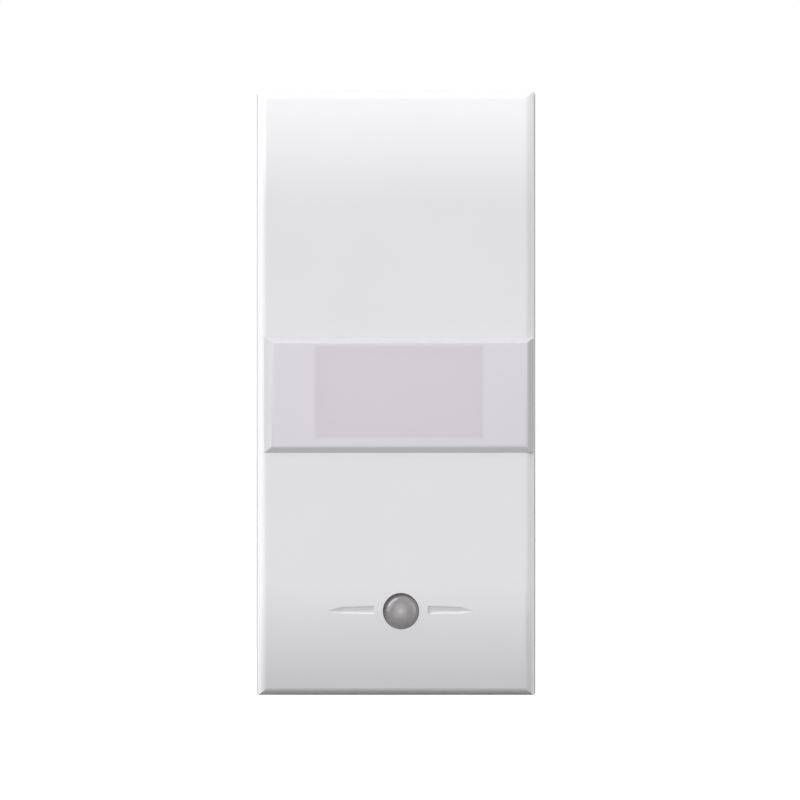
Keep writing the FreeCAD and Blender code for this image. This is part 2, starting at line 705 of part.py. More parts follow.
def make_rocker_carrier():
    body = new_body("rocker_carrier")
    slab(body, "plate", "at.carrier_half_width", "at.carrier_half_length", "at.carrier_back",
         "at.carrier_front")
    slab(body, "back_relief", "at.carrier_half_width - size.carrier_rim",
         "at.carrier_half_length - size.carrier_rim", "at.carrier_back",
         "at.carrier_front - size.carrier_web", cut=True)
    block(body, "light_window", ("size.label_shift", "size.label_width - 2 * size.diffuser_border"),
          ("at.carrier_back", "at.carrier_front"),
          ("size.label_lift", "size.label_height - size.diffuser_border"), cut=True)
    rod(body, "stem_hole", "rise", ("size.lens_shift", "at.carrier_back", "-at.lens_place"),
        "size.carrier_thick", "size.stem_radius + size.press_play", cut=True)
    lens_seat = "size.lens_radius + size.lens_flange + size.press_play"
    rod(body, "lens_seat", "rise", ("size.lens_shift", "at.lens_flange_back - size.lens_fit",
        "-at.lens_place"), "size.carrier_thick", lens_seat, cut=True)
    for side, sign in SIDES:
        ear_x = (f"{sign} * (at.carrier_half_width - size.carrier_ear / 2)", "size.carrier_ear")
        block(body, f"ear_{side}", ear_x, ("size.pivot_rise", "at.carrier_front"),
              ("0", "2 * at.carrier_ear_radius"))
        rod(body, f"ear_round_{side}", "x",
            (f"{sign} * (at.carrier_half_width - size.carrier_ear / 2) - size.carrier_ear / 2",
             "size.pivot_rise", "0"), "size.carrier_ear", "at.carrier_ear_radius")
        inner = "(at.carrier_half_width - size.carrier_ear / 2)"
        outer = "(at.upstand_outer - size.trunnion_end_play)"
        start = f"min({sign} * {inner}; {sign} * {outer})"
        rod(body, f"trunnion_{side}", "x", (start, "size.pivot_rise", "0"), f"{outer} - {inner}",
            "size.trunnion_radius")
        for end, up in (("upper", "1"), ("lower", "-1")):
            notch = "size.hook_thick + size.hook_fit"
            block(body, f"hook_notch_{end}_{side}",
                  (f"{sign} * (at.carrier_half_width - ({notch}) / 2)", notch),
                  ("at.carrier_back", "at.carrier_front"),
                  (f"{up} * at.hook_place", "size.hook_width + 2 * size.hook_fit"), cut=True)
    nose = outline(body, "nose_outline", "YZ_Plane", "0", [
        ("-(at.carrier_front - size.carrier_web)", "-at.nose_place + size.nose_thick"),
        ("-(at.nose_rise + size.nose_round)", "-at.nose_place + size.nose_thick / 2"),
        ("-at.nose_rise", "-at.nose_place + size.nose_flat / 2"),
        ("-at.nose_rise", "-at.nose_place - size.nose_flat / 2"),
        ("-(at.nose_rise + size.nose_round)", "-at.nose_place - size.nose_thick / 2"),
        ("-(at.carrier_front - size.carrier_web)", "-at.nose_place - size.nose_thick / 2"),
    ])
    extrude(body, "nose", nose, "size.nose_width", both=True)


def make_lamp_board():
    body = new_body("lamp_board")
    slab(body, "board", "at.board_half_width", "at.board_half_height", "at.deck_front",
         "at.board_front")
    hole_width = "size.nose_width + 2 * size.plunger_board_gap"
    hole_height = "size.plunger_height + 2 * size.plunger_board_gap"
    block(body, "plunger_hole", ("0", hole_width), ("at.deck_front", "at.board_front"),
          ("-at.nose_place", hole_height), cut=True)
    for side, sign in SIDES:
        block(body, f"tab_slot_{side}",
              (f"{sign} * size.clamp_place", "size.tab_width + 2 * size.tab_fit"),
              ("at.deck_front", "at.board_front"),
              ("at.leg_near + size.strip_thick / 2", "size.strip_thick + 2 * size.tab_fit"), cut=True)


def make_led(name, across, up):
    body = new_body(name)
    block(body, "package", (across, "size.led_width"), ("at.board_front", "at.led_front"),
          (up, "size.led_length"))
    rod(body, "eye", "rise", (across, "at.led_front", up), "size.led_eye_rise", "size.led_eye_radius")


def make_board_parts():
    make_led("label_led_left", "size.label_shift - size.led_spread", "size.label_lift")
    make_led("label_led_right", "size.label_shift + size.led_spread", "size.label_lift")
    make_led("indicator_led", "size.lens_shift", "-at.lens_place")
    capacitor = new_body("dropper_capacitor")
    block(capacitor, "case", ("0", "size.capacitor_width"),
          ("at.board_front", "at.board_front + size.capacitor_thick"),
          ("at.capacitor_place", "size.capacitor_length"))
    dress(capacitor, "Fillet", "corners", "Radius", "size.capacitor_corner", lies_along_rise)
    resistor = new_body("bleed_resistor")
    resistor_rise = "(at.board_front + size.resistor_radius)"
    rod(resistor, "case", "x", ("-size.resistor_length / 2", resistor_rise, "at.resistor_place"),
        "size.resistor_length", "size.resistor_radius")
    lead_half = "(size.resistor_length / 2 + size.resistor_lead_run)"
    rod(resistor, "leads", "x", (f"-{lead_half}", resistor_rise, "at.resistor_place"),
        f"2 * {lead_half}", "size.resistor_lead")
    for side, sign in SIDES:
        block(resistor, f"lead_end_{side}", (f"{sign} * {lead_half}", "size.resistor_foot"),
              ("at.board_front", f"{resistor_rise} + size.resistor_foot / 2"),
              ("at.resistor_place", "size.resistor_foot"))
    rectifier = new_body("rectifier")
    block(rectifier, "case", ("0", "size.rectifier_width"),
          ("at.board_front", "at.board_front + size.rectifier_thick"),
          ("-size.rectifier_place", "size.rectifier_length"))


def make_plunger():
    body = new_body("plunger")
    place = "-at.nose_place"
    block(body, "slide", ("0", "size.plunger_width"), ("at.collar_back", "at.plunger_front"),
          (place, "size.plunger_height"))
    block(body, "collar", ("0", "size.plunger_width + 2 * size.collar_border"),
          ("at.collar_back", "at.collar_front"),
          (place, "size.plunger_height + 2 * size.collar_border"))
    rod(body, "spindle", "rise", ("0", "at.spindle_end", place), "at.collar_back - at.spindle_end",
        "size.spindle_radius")


def make_bridge_parts():
    place = "-at.nose_place"
    bridge = new_body("moving_bridge")
    block(bridge, "strip", ("0", "size.bridge_length"), ("at.bridge_back", "at.bridge_front"),
          (place, "size.bridge_width"))
    rod(bridge, "spindle_hole", "rise", ("0", "at.bridge_back", place), "size.bridge_thick",
        "size.spindle_radius + size.spindle_fit", cut=True)
    disc = new_body("retaining_clip")
    rod(disc, "disc", "rise", ("0", "at.disc_back", place), "size.clip_disc_thick",
        "size.clip_disc_radius")
    rod(disc, "spindle_hole", "rise", ("0", "at.disc_back", place), "size.clip_disc_thick",
        "size.spindle_radius", cut=True)
    for side, sign in SIDES:
        across = f"{sign} * size.clamp_place"
        moving = new_body(f"moving_tip_{side}")
        rod(moving, "tip", "rise", (across, "at.tip_back", place), "size.tip_thick", "size.tip_radius")
        fixed = new_body(f"fixed_tip_{side}")
        rod(fixed, "tip", "rise", (across, "at.fixed_tip_back", place), "size.tip_thick",
            "size.tip_radius")


def make_contact_strips():
    """Two strips from the lower clamps to the fixed tips and two from the upper clamps to
    the lamp board."""
    for side, sign in SIDES:
        across = f"{sign} * size.clamp_place"
        fixed = new_body(f"fixed_contact_{side}")
        top_back = "(at.fixed_tip_back - size.strip_thick)"
        shape = outline(fixed, "bent_outline", "YZ_Plane", across, [
            ("-at.fixed_tip_back", "-at.nose_place - size.tip_radius - size.strip_overhang"),
            ("-at.fixed_tip_back", "-at.leg_near"),
            ("-at.foot_back", "-at.leg_near"),
            ("-at.foot_back", "-at.strip_end"),
            ("-at.foot_front", "-at.strip_end"),
            ("-at.foot_front", "-at.leg_far"),
            (f"-{top_back}", "-at.leg_far"),
            (f"-{top_back}", "-at.nose_place - size.tip_radius - size.strip_overhang"),
        ])
        extrude(fixed, "strip", shape, "size.strip_width", both=True)
        lamp = new_body(f"lamp_contact_{side}")
        shape = outline(lamp, "bent_outline", "YZ_Plane", across, [
            ("-at.deck_back + size.strip_overhang", "at.leg_near"),
            ("-at.deck_back + size.strip_overhang", "at.leg_far"),
            ("-at.foot_front", "at.leg_far"),
            ("-at.foot_front", "at.strip_end"),
            ("-at.foot_back", "at.strip_end"),
            ("-at.foot_back", "at.leg_near"),
        ])
        extrude(lamp, "strip", shape, "size.strip_width", both=True)
        block(lamp, "tab", (across, "size.tab_width"),
              ("at.deck_back - size.strip_overhang", "at.board_front + size.tab_height"),
              ("at.leg_near + size.strip_thick / 2", "size.strip_thick"))


def make_terminals():
    for number, side, end in TERMINALS:
        across = f"{side} * size.clamp_place"
        up = f"{end} * at.clamp_end_place"
        clamp = new_body(f"terminal_clamp_{number}")
        block(clamp, "cage", (across, "size.clamp_width"), ("at.clamp_back", "at.clamp_front"),
              (up, "size.clamp_length"))
        block(clamp, "cage_window", (across, "size.clamp_width - 2 * size.clamp_wall"),
              ("at.clamp_window_back", "at.clamp_window_front"), (up, "size.clamp_length"), cut=True)
        rod(clamp, "thread", "rise", (across, "at.clamp_back", up), "size.clamp_nut",
            "size.screw_radius + size.screw_fit", cut=True)
        screw = new_body(f"terminal_screw_{number}")
        head_back = "at.clamp_back - size.screw_fit - size.screw_head_thick"
        rod(screw, "head", "rise", (across, head_back, up), "size.screw_head_thick",
            "size.screw_head_radius")
        rod(screw, "shank", "rise", (across, "at.clamp_back - size.screw_fit", up),
            "at.screw_tip - at.clamp_back + size.screw_fit", "size.screw_radius")
        slot_rises = (head_back, f"{head_back} + size.screw_slot_depth")
        block(screw, "slot_across", (across, "2 * size.screw_head_radius"), slot_rises,
              (up, "size.screw_slot"), cut=True)
        block(screw, "slot_up", (across, "size.screw_slot"), slot_rises,
              (up, "size.screw_head_radius"), cut=True)


def make_rear_case():
    body = new_body("rear_case")
    slab(body, "shell", "at.body_half_width", "at.body_half_height", "at.case_back", "at.case_front")
    back = value("at.case_back")
    dress(body, "Chamfer", "rear_edge", "Size", "size.case_edge",
          lambda edge: lies_at_rise(edge, back))
    block(body, "mark_field", ("0", "size.mark_width"),
          ("at.case_back", "at.case_back + size.mark_depth"), ("0", "size.mark_height"), cut=True)
    slab(body, "lip", "at.lip_outer", "at.lip_end_outer", "at.case_front", "at.lip_front")
    slab(body, "lip_well", "at.lip_outer - size.lip_wall", "at.lip_end_outer - size.lip_wall",
         "at.shelf_back", "at.lip_front", cut=True)
    slab(body, "hollow", "at.case_inner", "at.body_half_height", "at.case_floor", "at.shelf_back",
         cut=True)
    place = "-at.nose_place"
    for end, up in (("top", "1"), ("bottom", "-1")):
        block(body, f"partition_{end}", ("0", "2 * at.case_inner"), ("at.case_floor", "at.rib_front"),
              (f"{up} * (at.partition_outer + at.partition_inner) / 2", "size.partition_thick"))
        rib_start = "(at.nose_place + size.return_radius + size.return_wire)"
        block(body, f"centre_rib_{end}", ("0", "size.rib_thick"), ("at.case_floor", "at.rib_front"),
              (f"{up} * (at.case_end_inner + {rib_start}) / 2", f"at.case_end_inner - {rib_start}"))
        gap = "(size.clip_width + 2 * size.clip_clear)"
        block(body, f"clip_gap_{end}", ("0", gap), ("at.case_front", "at.lip_front"),
              (f"{up} * (at.lip_end_outer - size.lip_wall / 2)", "size.lip_wall"), cut=True)
        for side, sign in SIDES:
            block(body, f"snap_{end}_{side}",
                  (f"{sign} * (at.lip_outer + size.snap_reach / 2)", "size.snap_reach"),
                  ("at.snap_middle - size.snap_depth / 2", "at.snap_middle + size.snap_depth / 2"),
                  (f"{up} * at.snap_place", "size.snap_width"))
            cage_edge = "(size.clamp_place + size.clamp_width / 2 + size.clamp_play)"
            block(body, f"cage_rib_{end}_{side}",
                  (f"{sign} * (at.case_inner + {cage_edge}) / 2", f"at.case_inner - {cage_edge}"),
                  ("at.case_floor", "at.clamp_front"),
                  (f"{up} * at.clamp_end_place", "size.clamp_length / 2"))
    rod(body, "spring_recess", "rise", ("0", "at.case_floor", place), "at.rib_front - at.case_floor",
        "size.return_radius + size.return_wire / 2 + size.peg_play", cut=True)
    rod(body, "spring_peg", "rise", ("0", "at.case_floor", place), "size.peg_length",
        "size.return_radius - size.return_wire / 2 - size.peg_play")
    for number, side, end in TERMINALS:
        across = f"{side} * size.clamp_place"
        up = f"{end} * at.clamp_end_place"
        rod(body, f"screw_well_{number}", "rise", (across, "at.case_back", up), "size.case_rear_wall",
            "size.screw_head_radius + size.well_play", cut=True)


def make_wire_plates():
    """The end walls of the case, each a plate with two holes for the wires."""
    for end, up in (("top", "1"), ("bottom", "-1")):
        body = new_body(f"wire_plate_{end}")
        middle = f"{up} * (at.body_half_height - size.case_wall / 2)"
        block(body, "plate", ("0", "2 * at.case_inner"), ("at.case_floor", "at.shelf_back"),
              (middle, "size.case_wall"))
        for side, sign in SIDES:
            rod(body, f"wire_entry_{side}", "z",
                (f"{sign} * size.clamp_place", "at.wire_rise", f"{middle} - size.case_wall / 2"),
                "size.case_wall", "size.wire_radius", cut=True)


def biarc(start, start_way, end, end_way):
    """Two arcs that meet with one tangent between two points with given directions."""
    chord = end - start
    ways = start_way + end_way
    square = 2 * (1 - start_way.dot(end_way))
    along = chord.dot(ways)
    reach = (math.sqrt(along ** 2 + square * chord.dot(chord)) - along) / square
    meeting = (start + end + (start_way - end_way) * reach) / 2
    return [arc_from(start, start_way, meeting), arc_from(end, -end_way, meeting)]


def arc_from(start, way, end):
    """The arc from start along way to end."""
    chord = end - start
    side = (chord - way * chord.dot(way)).normalize()
    radius = chord.dot(chord) / (2 * chord.dot(side))
    centre = start + side * radius
    middle = ((start + end) / 2 - centre).normalize()
    return Part.Arc(start, centre + middle * radius, end)


def make_spring(name, across, up, low, high, radius, wire, turns):
    """An open coil along the rise, of quarter turn biarcs."""
    centre = Vector(value(across), 0, value(up))
    mean, thick, count = value(radius), value(wire), value(turns)
    bottom = value(low) + thick / 2
    length = value(high) - thick / 2 - bottom
    pitch = length / count
    steps = max(4, round(4 * count))

    def spot(index):
        angle = 2 * math.pi * count * index / steps
        return centre + Vector(mean * math.cos(angle), -bottom - length * index / steps,
                               mean * math.sin(angle))

    def way(index):
        angle = 2 * math.pi * count * index / steps
        return Vector(-mean * math.sin(angle), -pitch / (2 * math.pi), mean * math.cos(angle)).normalize()

    arcs = []
    for index in range(steps):
        first, second = biarc(spot(index), way(index), spot(index + 1), way(index + 1))
        arcs += [first.toShape(), second.toShape()]
    path = Part.Wire(Part.__sortEdges__(arcs))
    ring = Part.Wire(Part.Circle(spot(0), way(0), thick / 2).toShape())
    tube = doc.addObject("Part::Feature", name)
    tube.Shape = path.makePipeShell([ring], True, False)
    tube.Label = name
    tube.Placement = FreeCAD.Placement()
    print(f"{name}: {count} turns, gap between turns {pitch - thick:.3f}")
    return tube


def make_springs():
    place = "-at.nose_place"
    springs = [
        make_spring("return_spring", "0", place, "at.case_floor + size.spring_seat",
                    "at.disc_back - size.spring_seat", "size.return_radius", "size.return_wire",
                    "size.return_turns"),
        make_spring("contact_spring", "0", place, "at.bridge_front + size.spring_seat",
                    "at.collar_back - size.spring_seat", "size.contact_radius", "size.contact_wire",
                    "size.contact_turns"),
    ]
    return springs


def check_model(parts):
    """Stops if a feature failed, a cut removed nothing or a piece isn't one valid solid."""
    for item in doc.Objects:
        if {"Invalid", "Error"} & set(item.State):
            raise RuntimeError(f"{item.Label} of {item.getParentGeoFeatureGroup()} failed: {item.State}")
        if item.TypeId == "PartDesign::Pocket" or item.TypeId.startswith("PartDesign::Subtractive"):
            if item.Shape.Volume > item.BaseFeature.Shape.Volume - 1e-6:
                raise RuntimeError(f"{item.Label} cuts nothing")
    for part in parts:
        shape = part.Shape
        if shape.isNull() or not shape.isValid() or len(shape.Solids) != 1:
            raise RuntimeError(f"{part.Label} is not one valid solid")


def main():
    make_front_frame()
    make_button_cap()
    make_name_window()
    make_label_parts()
    make_indicator_lens()
    make_rocker_carrier()
    make_lamp_board()
    make_board_parts()
    make_plunger()
    make_bridge_parts()
    make_contact_strips()
    make_terminals()
    make_rear_case()
    make_wire_plates()
    springs = make_springs()
    doc.recompute()
    parts = [item for item in doc.Objects if item.TypeId == "PartDesign::Body"] + springs
    check_model(parts)
    os.makedirs("parts", exist_ok=True)
    for part in parts:
        part.Shape.exportStep(f"parts/{part.Label}.step")
    print(f"{len(parts)} parts written")


main()
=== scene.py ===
"""Looks of the illuminated push button switch: materials, fine detail, camera and light.

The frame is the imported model's: +Z up, +X right and the key faces -Y. Lengths are given in
millimetres and turned into metres where a mesh is made. "Rise" is the distance in front of
the seating plane, along -Y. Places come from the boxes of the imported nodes.
"""
import json
import math

import bmesh
import bpy
from mathutils import Matrix, Vector

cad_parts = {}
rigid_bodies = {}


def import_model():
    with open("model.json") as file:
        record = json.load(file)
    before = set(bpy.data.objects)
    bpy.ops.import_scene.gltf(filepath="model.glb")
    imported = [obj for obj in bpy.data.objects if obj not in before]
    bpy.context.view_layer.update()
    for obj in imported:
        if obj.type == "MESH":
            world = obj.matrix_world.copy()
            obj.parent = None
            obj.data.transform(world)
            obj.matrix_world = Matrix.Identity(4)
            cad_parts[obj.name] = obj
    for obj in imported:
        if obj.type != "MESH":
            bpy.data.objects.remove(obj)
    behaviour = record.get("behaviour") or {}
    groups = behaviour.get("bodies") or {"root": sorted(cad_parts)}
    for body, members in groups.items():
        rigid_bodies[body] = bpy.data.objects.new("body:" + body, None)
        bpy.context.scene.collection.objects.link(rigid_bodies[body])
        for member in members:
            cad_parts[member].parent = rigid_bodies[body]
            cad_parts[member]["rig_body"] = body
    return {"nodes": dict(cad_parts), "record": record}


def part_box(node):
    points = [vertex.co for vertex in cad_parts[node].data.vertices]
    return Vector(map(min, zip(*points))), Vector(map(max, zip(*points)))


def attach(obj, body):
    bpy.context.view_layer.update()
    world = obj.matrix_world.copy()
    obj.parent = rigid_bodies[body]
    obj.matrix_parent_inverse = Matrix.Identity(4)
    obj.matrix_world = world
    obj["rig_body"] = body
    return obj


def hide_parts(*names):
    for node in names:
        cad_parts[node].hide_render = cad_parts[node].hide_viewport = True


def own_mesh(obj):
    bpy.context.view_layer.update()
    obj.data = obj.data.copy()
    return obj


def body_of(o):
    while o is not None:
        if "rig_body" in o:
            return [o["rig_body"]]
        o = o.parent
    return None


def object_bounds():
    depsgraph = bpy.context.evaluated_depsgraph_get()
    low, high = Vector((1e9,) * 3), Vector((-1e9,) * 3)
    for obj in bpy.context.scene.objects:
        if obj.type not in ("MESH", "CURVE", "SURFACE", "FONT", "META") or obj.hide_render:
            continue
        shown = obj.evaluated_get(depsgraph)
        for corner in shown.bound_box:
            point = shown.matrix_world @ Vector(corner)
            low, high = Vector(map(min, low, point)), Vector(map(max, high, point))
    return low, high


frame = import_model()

MM = 0.001
cad_low, cad_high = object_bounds()
nodes = frame["nodes"]
slots = {item["node"]: item["material_slot"] for item in frame["record"]["subparts"]}
for packed in list(bpy.data.materials):
    bpy.data.materials.remove(packed)

SIGNS = (-1, 1)
SIDES = (("left", -1), ("right", 1))
TERMINALS = ("1", "2", "3", "4")
AXIS = 0.02


class Extent:
    """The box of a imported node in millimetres: across, in rise and up."""

    def __init__(self, name):
        low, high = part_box(name)
        self.left, self.right = low.x / MM, high.x / MM
        self.back, self.front = -high.y / MM, -low.y / MM
        self.bottom, self.top = low.z / MM, high.z / MM
        self.x, self.z = (self.left + self.right) / 2, (self.bottom + self.top) / 2
        self.width, self.height = self.right - self.left, self.top - self.bottom


# Materials

def srgb(red, green, blue):
    """A linear colour from the 0 to 255 values that a picture shows."""
    def linear(level):
        part = level / 255
        return part / 12.92 if part <= 0.04045 else ((part + 0.055) / 1.055) ** 2.4
    return (linear(red), linear(green), linear(blue), 1.0)


def scaled(colour, factor):
    return tuple(min(1.0, channel * factor) for channel in colour[:3]) + (1.0,)


class Shader:
    """A principled material whose colour, roughness and bump come from procedural patterns."""

    def __init__(self, name, colour, roughness, metallic=0.0):
        self.material = bpy.data.materials.new(name)
        self.material.use_nodes = True
        self.tree = self.material.node_tree
        self.surface = self.tree.nodes["Principled BSDF"]
        self.set(Metallic=metallic, Roughness=roughness, Base_Color=colour)
        self.material.diffuse_color = colour
        self.colour = colour
        self.roughness = roughness
        coordinates = self.tree.nodes.new("ShaderNodeTexCoord")
        self.place = coordinates.outputs["Object"]
        self.facing = coordinates.outputs["Normal"]

    def set(self, **sockets):
        for name, value in sockets.items():
            self.surface.inputs[name.replace("_", " ")].default_value = value
        return self

    def node(self, kind, settings=(), **inputs):
        """A new shader node. An input is a value, or an output to link."""
        made = self.tree.nodes.new(kind)
        for name, value in settings:
            setattr(made, name, value)
        for name, value in inputs.items():
            self.plug(value, made.inputs[name.replace("_", " ")])
        return made

    def plug(self, value, socket):
        if isinstance(value, bpy.types.NodeSocket):
            self.tree.links.new(value, socket)
        else:
            socket.default_value = value

    def feed(self, output, name):
        self.tree.links.new(output, self.surface.inputs[name])
        return self

    def calc(self, operation, first, second=0.0):
        """One math step on values or outputs."""
        node = self.node("ShaderNodeMath", [("operation", operation)])
        self.plug(first, node.inputs[0])
        self.plug(second, node.inputs[1])
        return node.outputs[0]

    def noise(self, grain, detail=3.0, stretch=(1, 1, 1)):
        """Noise whose patches are about grain millimetres across."""
        mapping = self.node("ShaderNodeMapping", Vector=self.place, Scale=stretch)
        texture = self.node("ShaderNodeTexNoise", Vector=mapping.outputs["Vector"],
                            Scale=1 / (grain * MM), Detail=detail)
        return texture.outputs["Fac"]

    def spread(self, signal, low, high, start=0.3, stop=0.7, smooth=False):
        """The signal's range from start to stop, stretched to low to high."""
        node = self.node("ShaderNodeMapRange", Value=signal, From_Min=start, From_Max=stop,
                         To_Min=low, To_Max=high)
        if smooth:
            node.interpolation_type = "SMOOTHSTEP"
        return node.outputs["Result"]

    def mix(self, factor, first, second):
        """The first colour where the factor is 0 and the second where it is 1."""
        node = self.node("ShaderNodeMix", [("data_type", "RGBA")], Factor=factor)
        self.plug(first, node.inputs[6])
        self.plug(second, node.inputs[7])
        return node.outputs[2]

    def across_and_up(self):
        axes = self.node("ShaderNodeSeparateXYZ", Vector=self.place)
        return axes.outputs["X"], axes.outputs["Z"]

    def distance(self, x, z):
        """How far a point is from a line along the rise, in metres."""
        across, up = self.across_and_up()
        away = [self.calc("POWER", self.calc("SUBTRACT", axis, centre * MM), 2.0)
                for axis, centre in ((across, x), (up, z))]
        return self.calc("SQRT", self.calc("ADD", *away))

    def outside(self, x, z, half_width, half_height, soft):
        """0 inside a rectangle and 1 outside it, with an edge that is soft millimetres wide."""
        across, up = self.across_and_up()
        beyond = [self.calc("SUBTRACT", self.calc("ABSOLUTE", self.calc("SUBTRACT", axis, centre * MM)),
                           half * MM)
                  for axis, centre, half in ((across, x, half_width), (up, z, half_height))]
        edge = soft * MM / 2
        return self.spread(self.calc("MAXIMUM", *beyond), 0.0, 1.0, -edge, edge, smooth=True)

    def mottle(self, grain, amount, stretch=(1, 1, 1)):
        """Colour that drifts a little darker and lighter."""
        factor = self.spread(self.noise(grain, detail=4.0, stretch=stretch), 0.0, 1.0)
        colour = self.mix(factor, scaled(self.colour, 1 - amount), scaled(self.colour, 1 + amount))
        return self.feed(colour, "Base Color")

    def gloss(self, grain, amount, stretch=(1, 1, 1)):
        """Roughness that varies by amount either way."""
        signal = self.noise(grain, detail=5.0, stretch=stretch)
        return self.feed(self.spread(signal, self.roughness - amount, self.roughness + amount),
                         "Roughness")

    def bump(self, grain, height, stretch=(1, 1, 1)):
        """Relief of about height millimetres."""
        relief = self.noise(grain, detail=2.0, stretch=stretch)
        node = self.node("ShaderNodeBump", Distance=height * MM, Height=relief)
        return self.feed(node.outputs["Normal"], "Normal")


def moulded(name, colour, roughness, texture=0.004, grain=0.25):
    """Moulded plastic: faint flow mottling, uneven gloss and a fine moulded skin."""
    shader = Shader(name, colour, roughness)
    shader.mottle(grain=9.0, amount=0.012).gloss(grain=1.5, amount=roughness * 0.18)
    return shader.bump(grain, texture)


def metal(name, colour, roughness, tarnish=0.06, streak=(1, 1, 12)):
    """Stamped or drawn metal with brushed streaks and faint tarnish."""
    shader = Shader(name, colour, roughness, metallic=1.0)
    shader.mottle(grain=2.5, amount=tarnish)
    shader.gloss(grain=0.4, amount=roughness * 0.3, stretch=streak)
    return shader.bump(grain=0.12, height=0.001, stretch=streak)


KEY_WHITE = srgb(230, 229, 232)
# The frame's white is darker than the key's: painted shade on the thin rim of frame seen round the key.
FRAME_WHITE_WITH_PAINTED_SHADE = srgb(206, 206, 208)
BEVEL_WHITE = srgb(229, 229, 231)
# Painted shade for the window bevels that face up, left and right.
TOP_BEVEL_PAINTED_SHADE = srgb(204, 202, 206)
SIDE_BEVEL_PAINTED_SHADES = {"left": srgb(199, 198, 201), "right": srgb(186, 185, 188)}
PANE_WHITE = srgb(224, 221, 226)
LABEL_TINT = srgb(231, 226, 232)
LENS_SMOKE = srgb(138, 134, 136)
LENS_CLOUDS = (srgb(128, 124, 126), srgb(146, 142, 143))
LENS_GLOW = srgb(166, 161, 161)
LENS_SPOT = srgb(188, 184, 184)
# Painted shade (upper left) and painted light (lower right) for the lens's outer band.
LENS_EDGE_SHADE_AND_LIGHT = (srgb(99, 96, 98), srgb(148, 145, 147))
# Painted light on the lens's outermost rim, lifting the shade in the gap round it.
LENS_RIM_PAINTED_LIGHT = srgb(196, 193, 195)

# Sizes that the lens, the window and their materials share
LENS_RADIUS = 1.44
BEVEL = {"left": 0.62, "right": 0.54, "bottom": 0.5, "top": 0.36}
BEVEL_TURN = 0.4
BEVEL_SOFT = 0.3
LABEL_BORDER = 0.12
LABEL_SOFT = 0.42
LABEL_COVER = 0.8
WINDOW_BED = 0.4
WINDOW_GAP_COVER = 0.015
KEY_EDGE_ROUND = 0.7
END_WALL = 0.48
END_WALL_SEAM = 0.005
END_WALL_SKIN = 0.002
lens_box = Extent("indicator_lens")
card_box = Extent("name_card")
window_box = Extent("name_window")
key_box = Extent("button_cap")
window_left = window_box.left + END_WALL


def smoked_lens():
    """Smoked plastic, paler where the light guide ends in the middle. Its outer band has painted shade up
    and to the left, painted light down and to the right, and a painted light rim at the very edge.
    """
    shader = Shader("smoked_lens", LENS_SMOKE, 0.12)
    distance = shader.distance(lens_box.x, lens_box.z)
    radius = LENS_RADIUS * MM

    def beyond(inner, outer, smooth=True):
        """0 within the inner share of the radius and 1 beyond the outer share."""
        return shader.spread(distance, 0.0, 1.0, inner * radius, outer * radius, smooth)

    across, up = shader.across_and_up()
    right = shader.calc("SUBTRACT", across, lens_box.x * MM)
    above = shader.calc("SUBTRACT", up, lens_box.z * MM)
    slant = shader.calc("SUBTRACT", right, shader.calc("MULTIPLY", above, 0.45))
    # 0 up and to the left, 1 down and to the right: where the outer band goes from painted shade to
    # painted light.
    painted_lit_side = shader.spread(slant, 0.0, 1.0, -0.9 * radius, 0.45 * radius)
    cloud = shader.spread(shader.noise(grain=0.7, detail=2.0), 0.0, 1.0, 0.35, 0.65)
    body = shader.mix(cloud, *LENS_CLOUDS)
    body = shader.mix(beyond(0.1, 0.55), LENS_GLOW, body)
    body = shader.mix(beyond(0.02, 0.2), LENS_SPOT, body)
    edge = shader.mix(painted_lit_side, *LENS_EDGE_SHADE_AND_LIGHT)
    # The outermost rim is painted light over the shade of the gap round the lens.
    edge = shader.mix(beyond(0.86, 0.95, smooth=False), edge, LENS_RIM_PAINTED_LIGHT)
    shader.feed(shader.mix(beyond(0.34, 0.8), body, edge), "Base Color")
    return shader.gloss(grain=1.0, amount=0.02).set(Coat_Weight=1.0, Coat_Roughness=0.05)


def window_plastic():
    """Slightly clear over the label and frosted round it. The bevels that face up, left and right get
    painted shade, a darker grey for each way they face; the bottom bevel keeps BEVEL_WHITE.
    """
    shader = Shader("clear_window", PANE_WHITE, 0.12)
    frosted = shader.outside(card_box.x, card_box.z, card_box.width / 2 + LABEL_BORDER,
                             card_box.height / 2 + LABEL_BORDER, LABEL_SOFT)
    left, right = window_left + BEVEL["left"], window_box.right - BEVEL["right"]
    bottom, top = window_box.bottom + BEVEL["bottom"], window_box.top - BEVEL["top"]
    bevelled = shader.outside((left + right) / 2, (bottom + top) / 2, (right - left) / 2,
                              (top - bottom) / 2, BEVEL_SOFT)
    facing = shader.node("ShaderNodeSeparateXYZ", Vector=shader.facing)
    # Painted shade: each bevel is mixed toward a darker grey by the way it faces.
    edge = BEVEL_WHITE
    for axis, sign, grey in (("Z", 1, TOP_BEVEL_PAINTED_SHADE), ("X", -1, SIDE_BEVEL_PAINTED_SHADES["left"]),
                             ("X", 1, SIDE_BEVEL_PAINTED_SHADES["right"])):
        toward = shader.calc("MULTIPLY", facing.outputs[axis], sign)
        edge = shader.mix(shader.spread(toward, 0.0, 1.0, 0.1, 0.5), edge, grey)
    pane = shader.mix(frosted, LABEL_TINT, PANE_WHITE)
    shader.feed(shader.mix(bevelled, pane, edge), "Base Color")
    shader.feed(shader.spread(frosted, LABEL_COVER, 0.97, 0.0, 1.0), "Alpha")
    return shader.gloss(grain=1.5, amount=0.03).bump(grain=0.8, height=0.001)


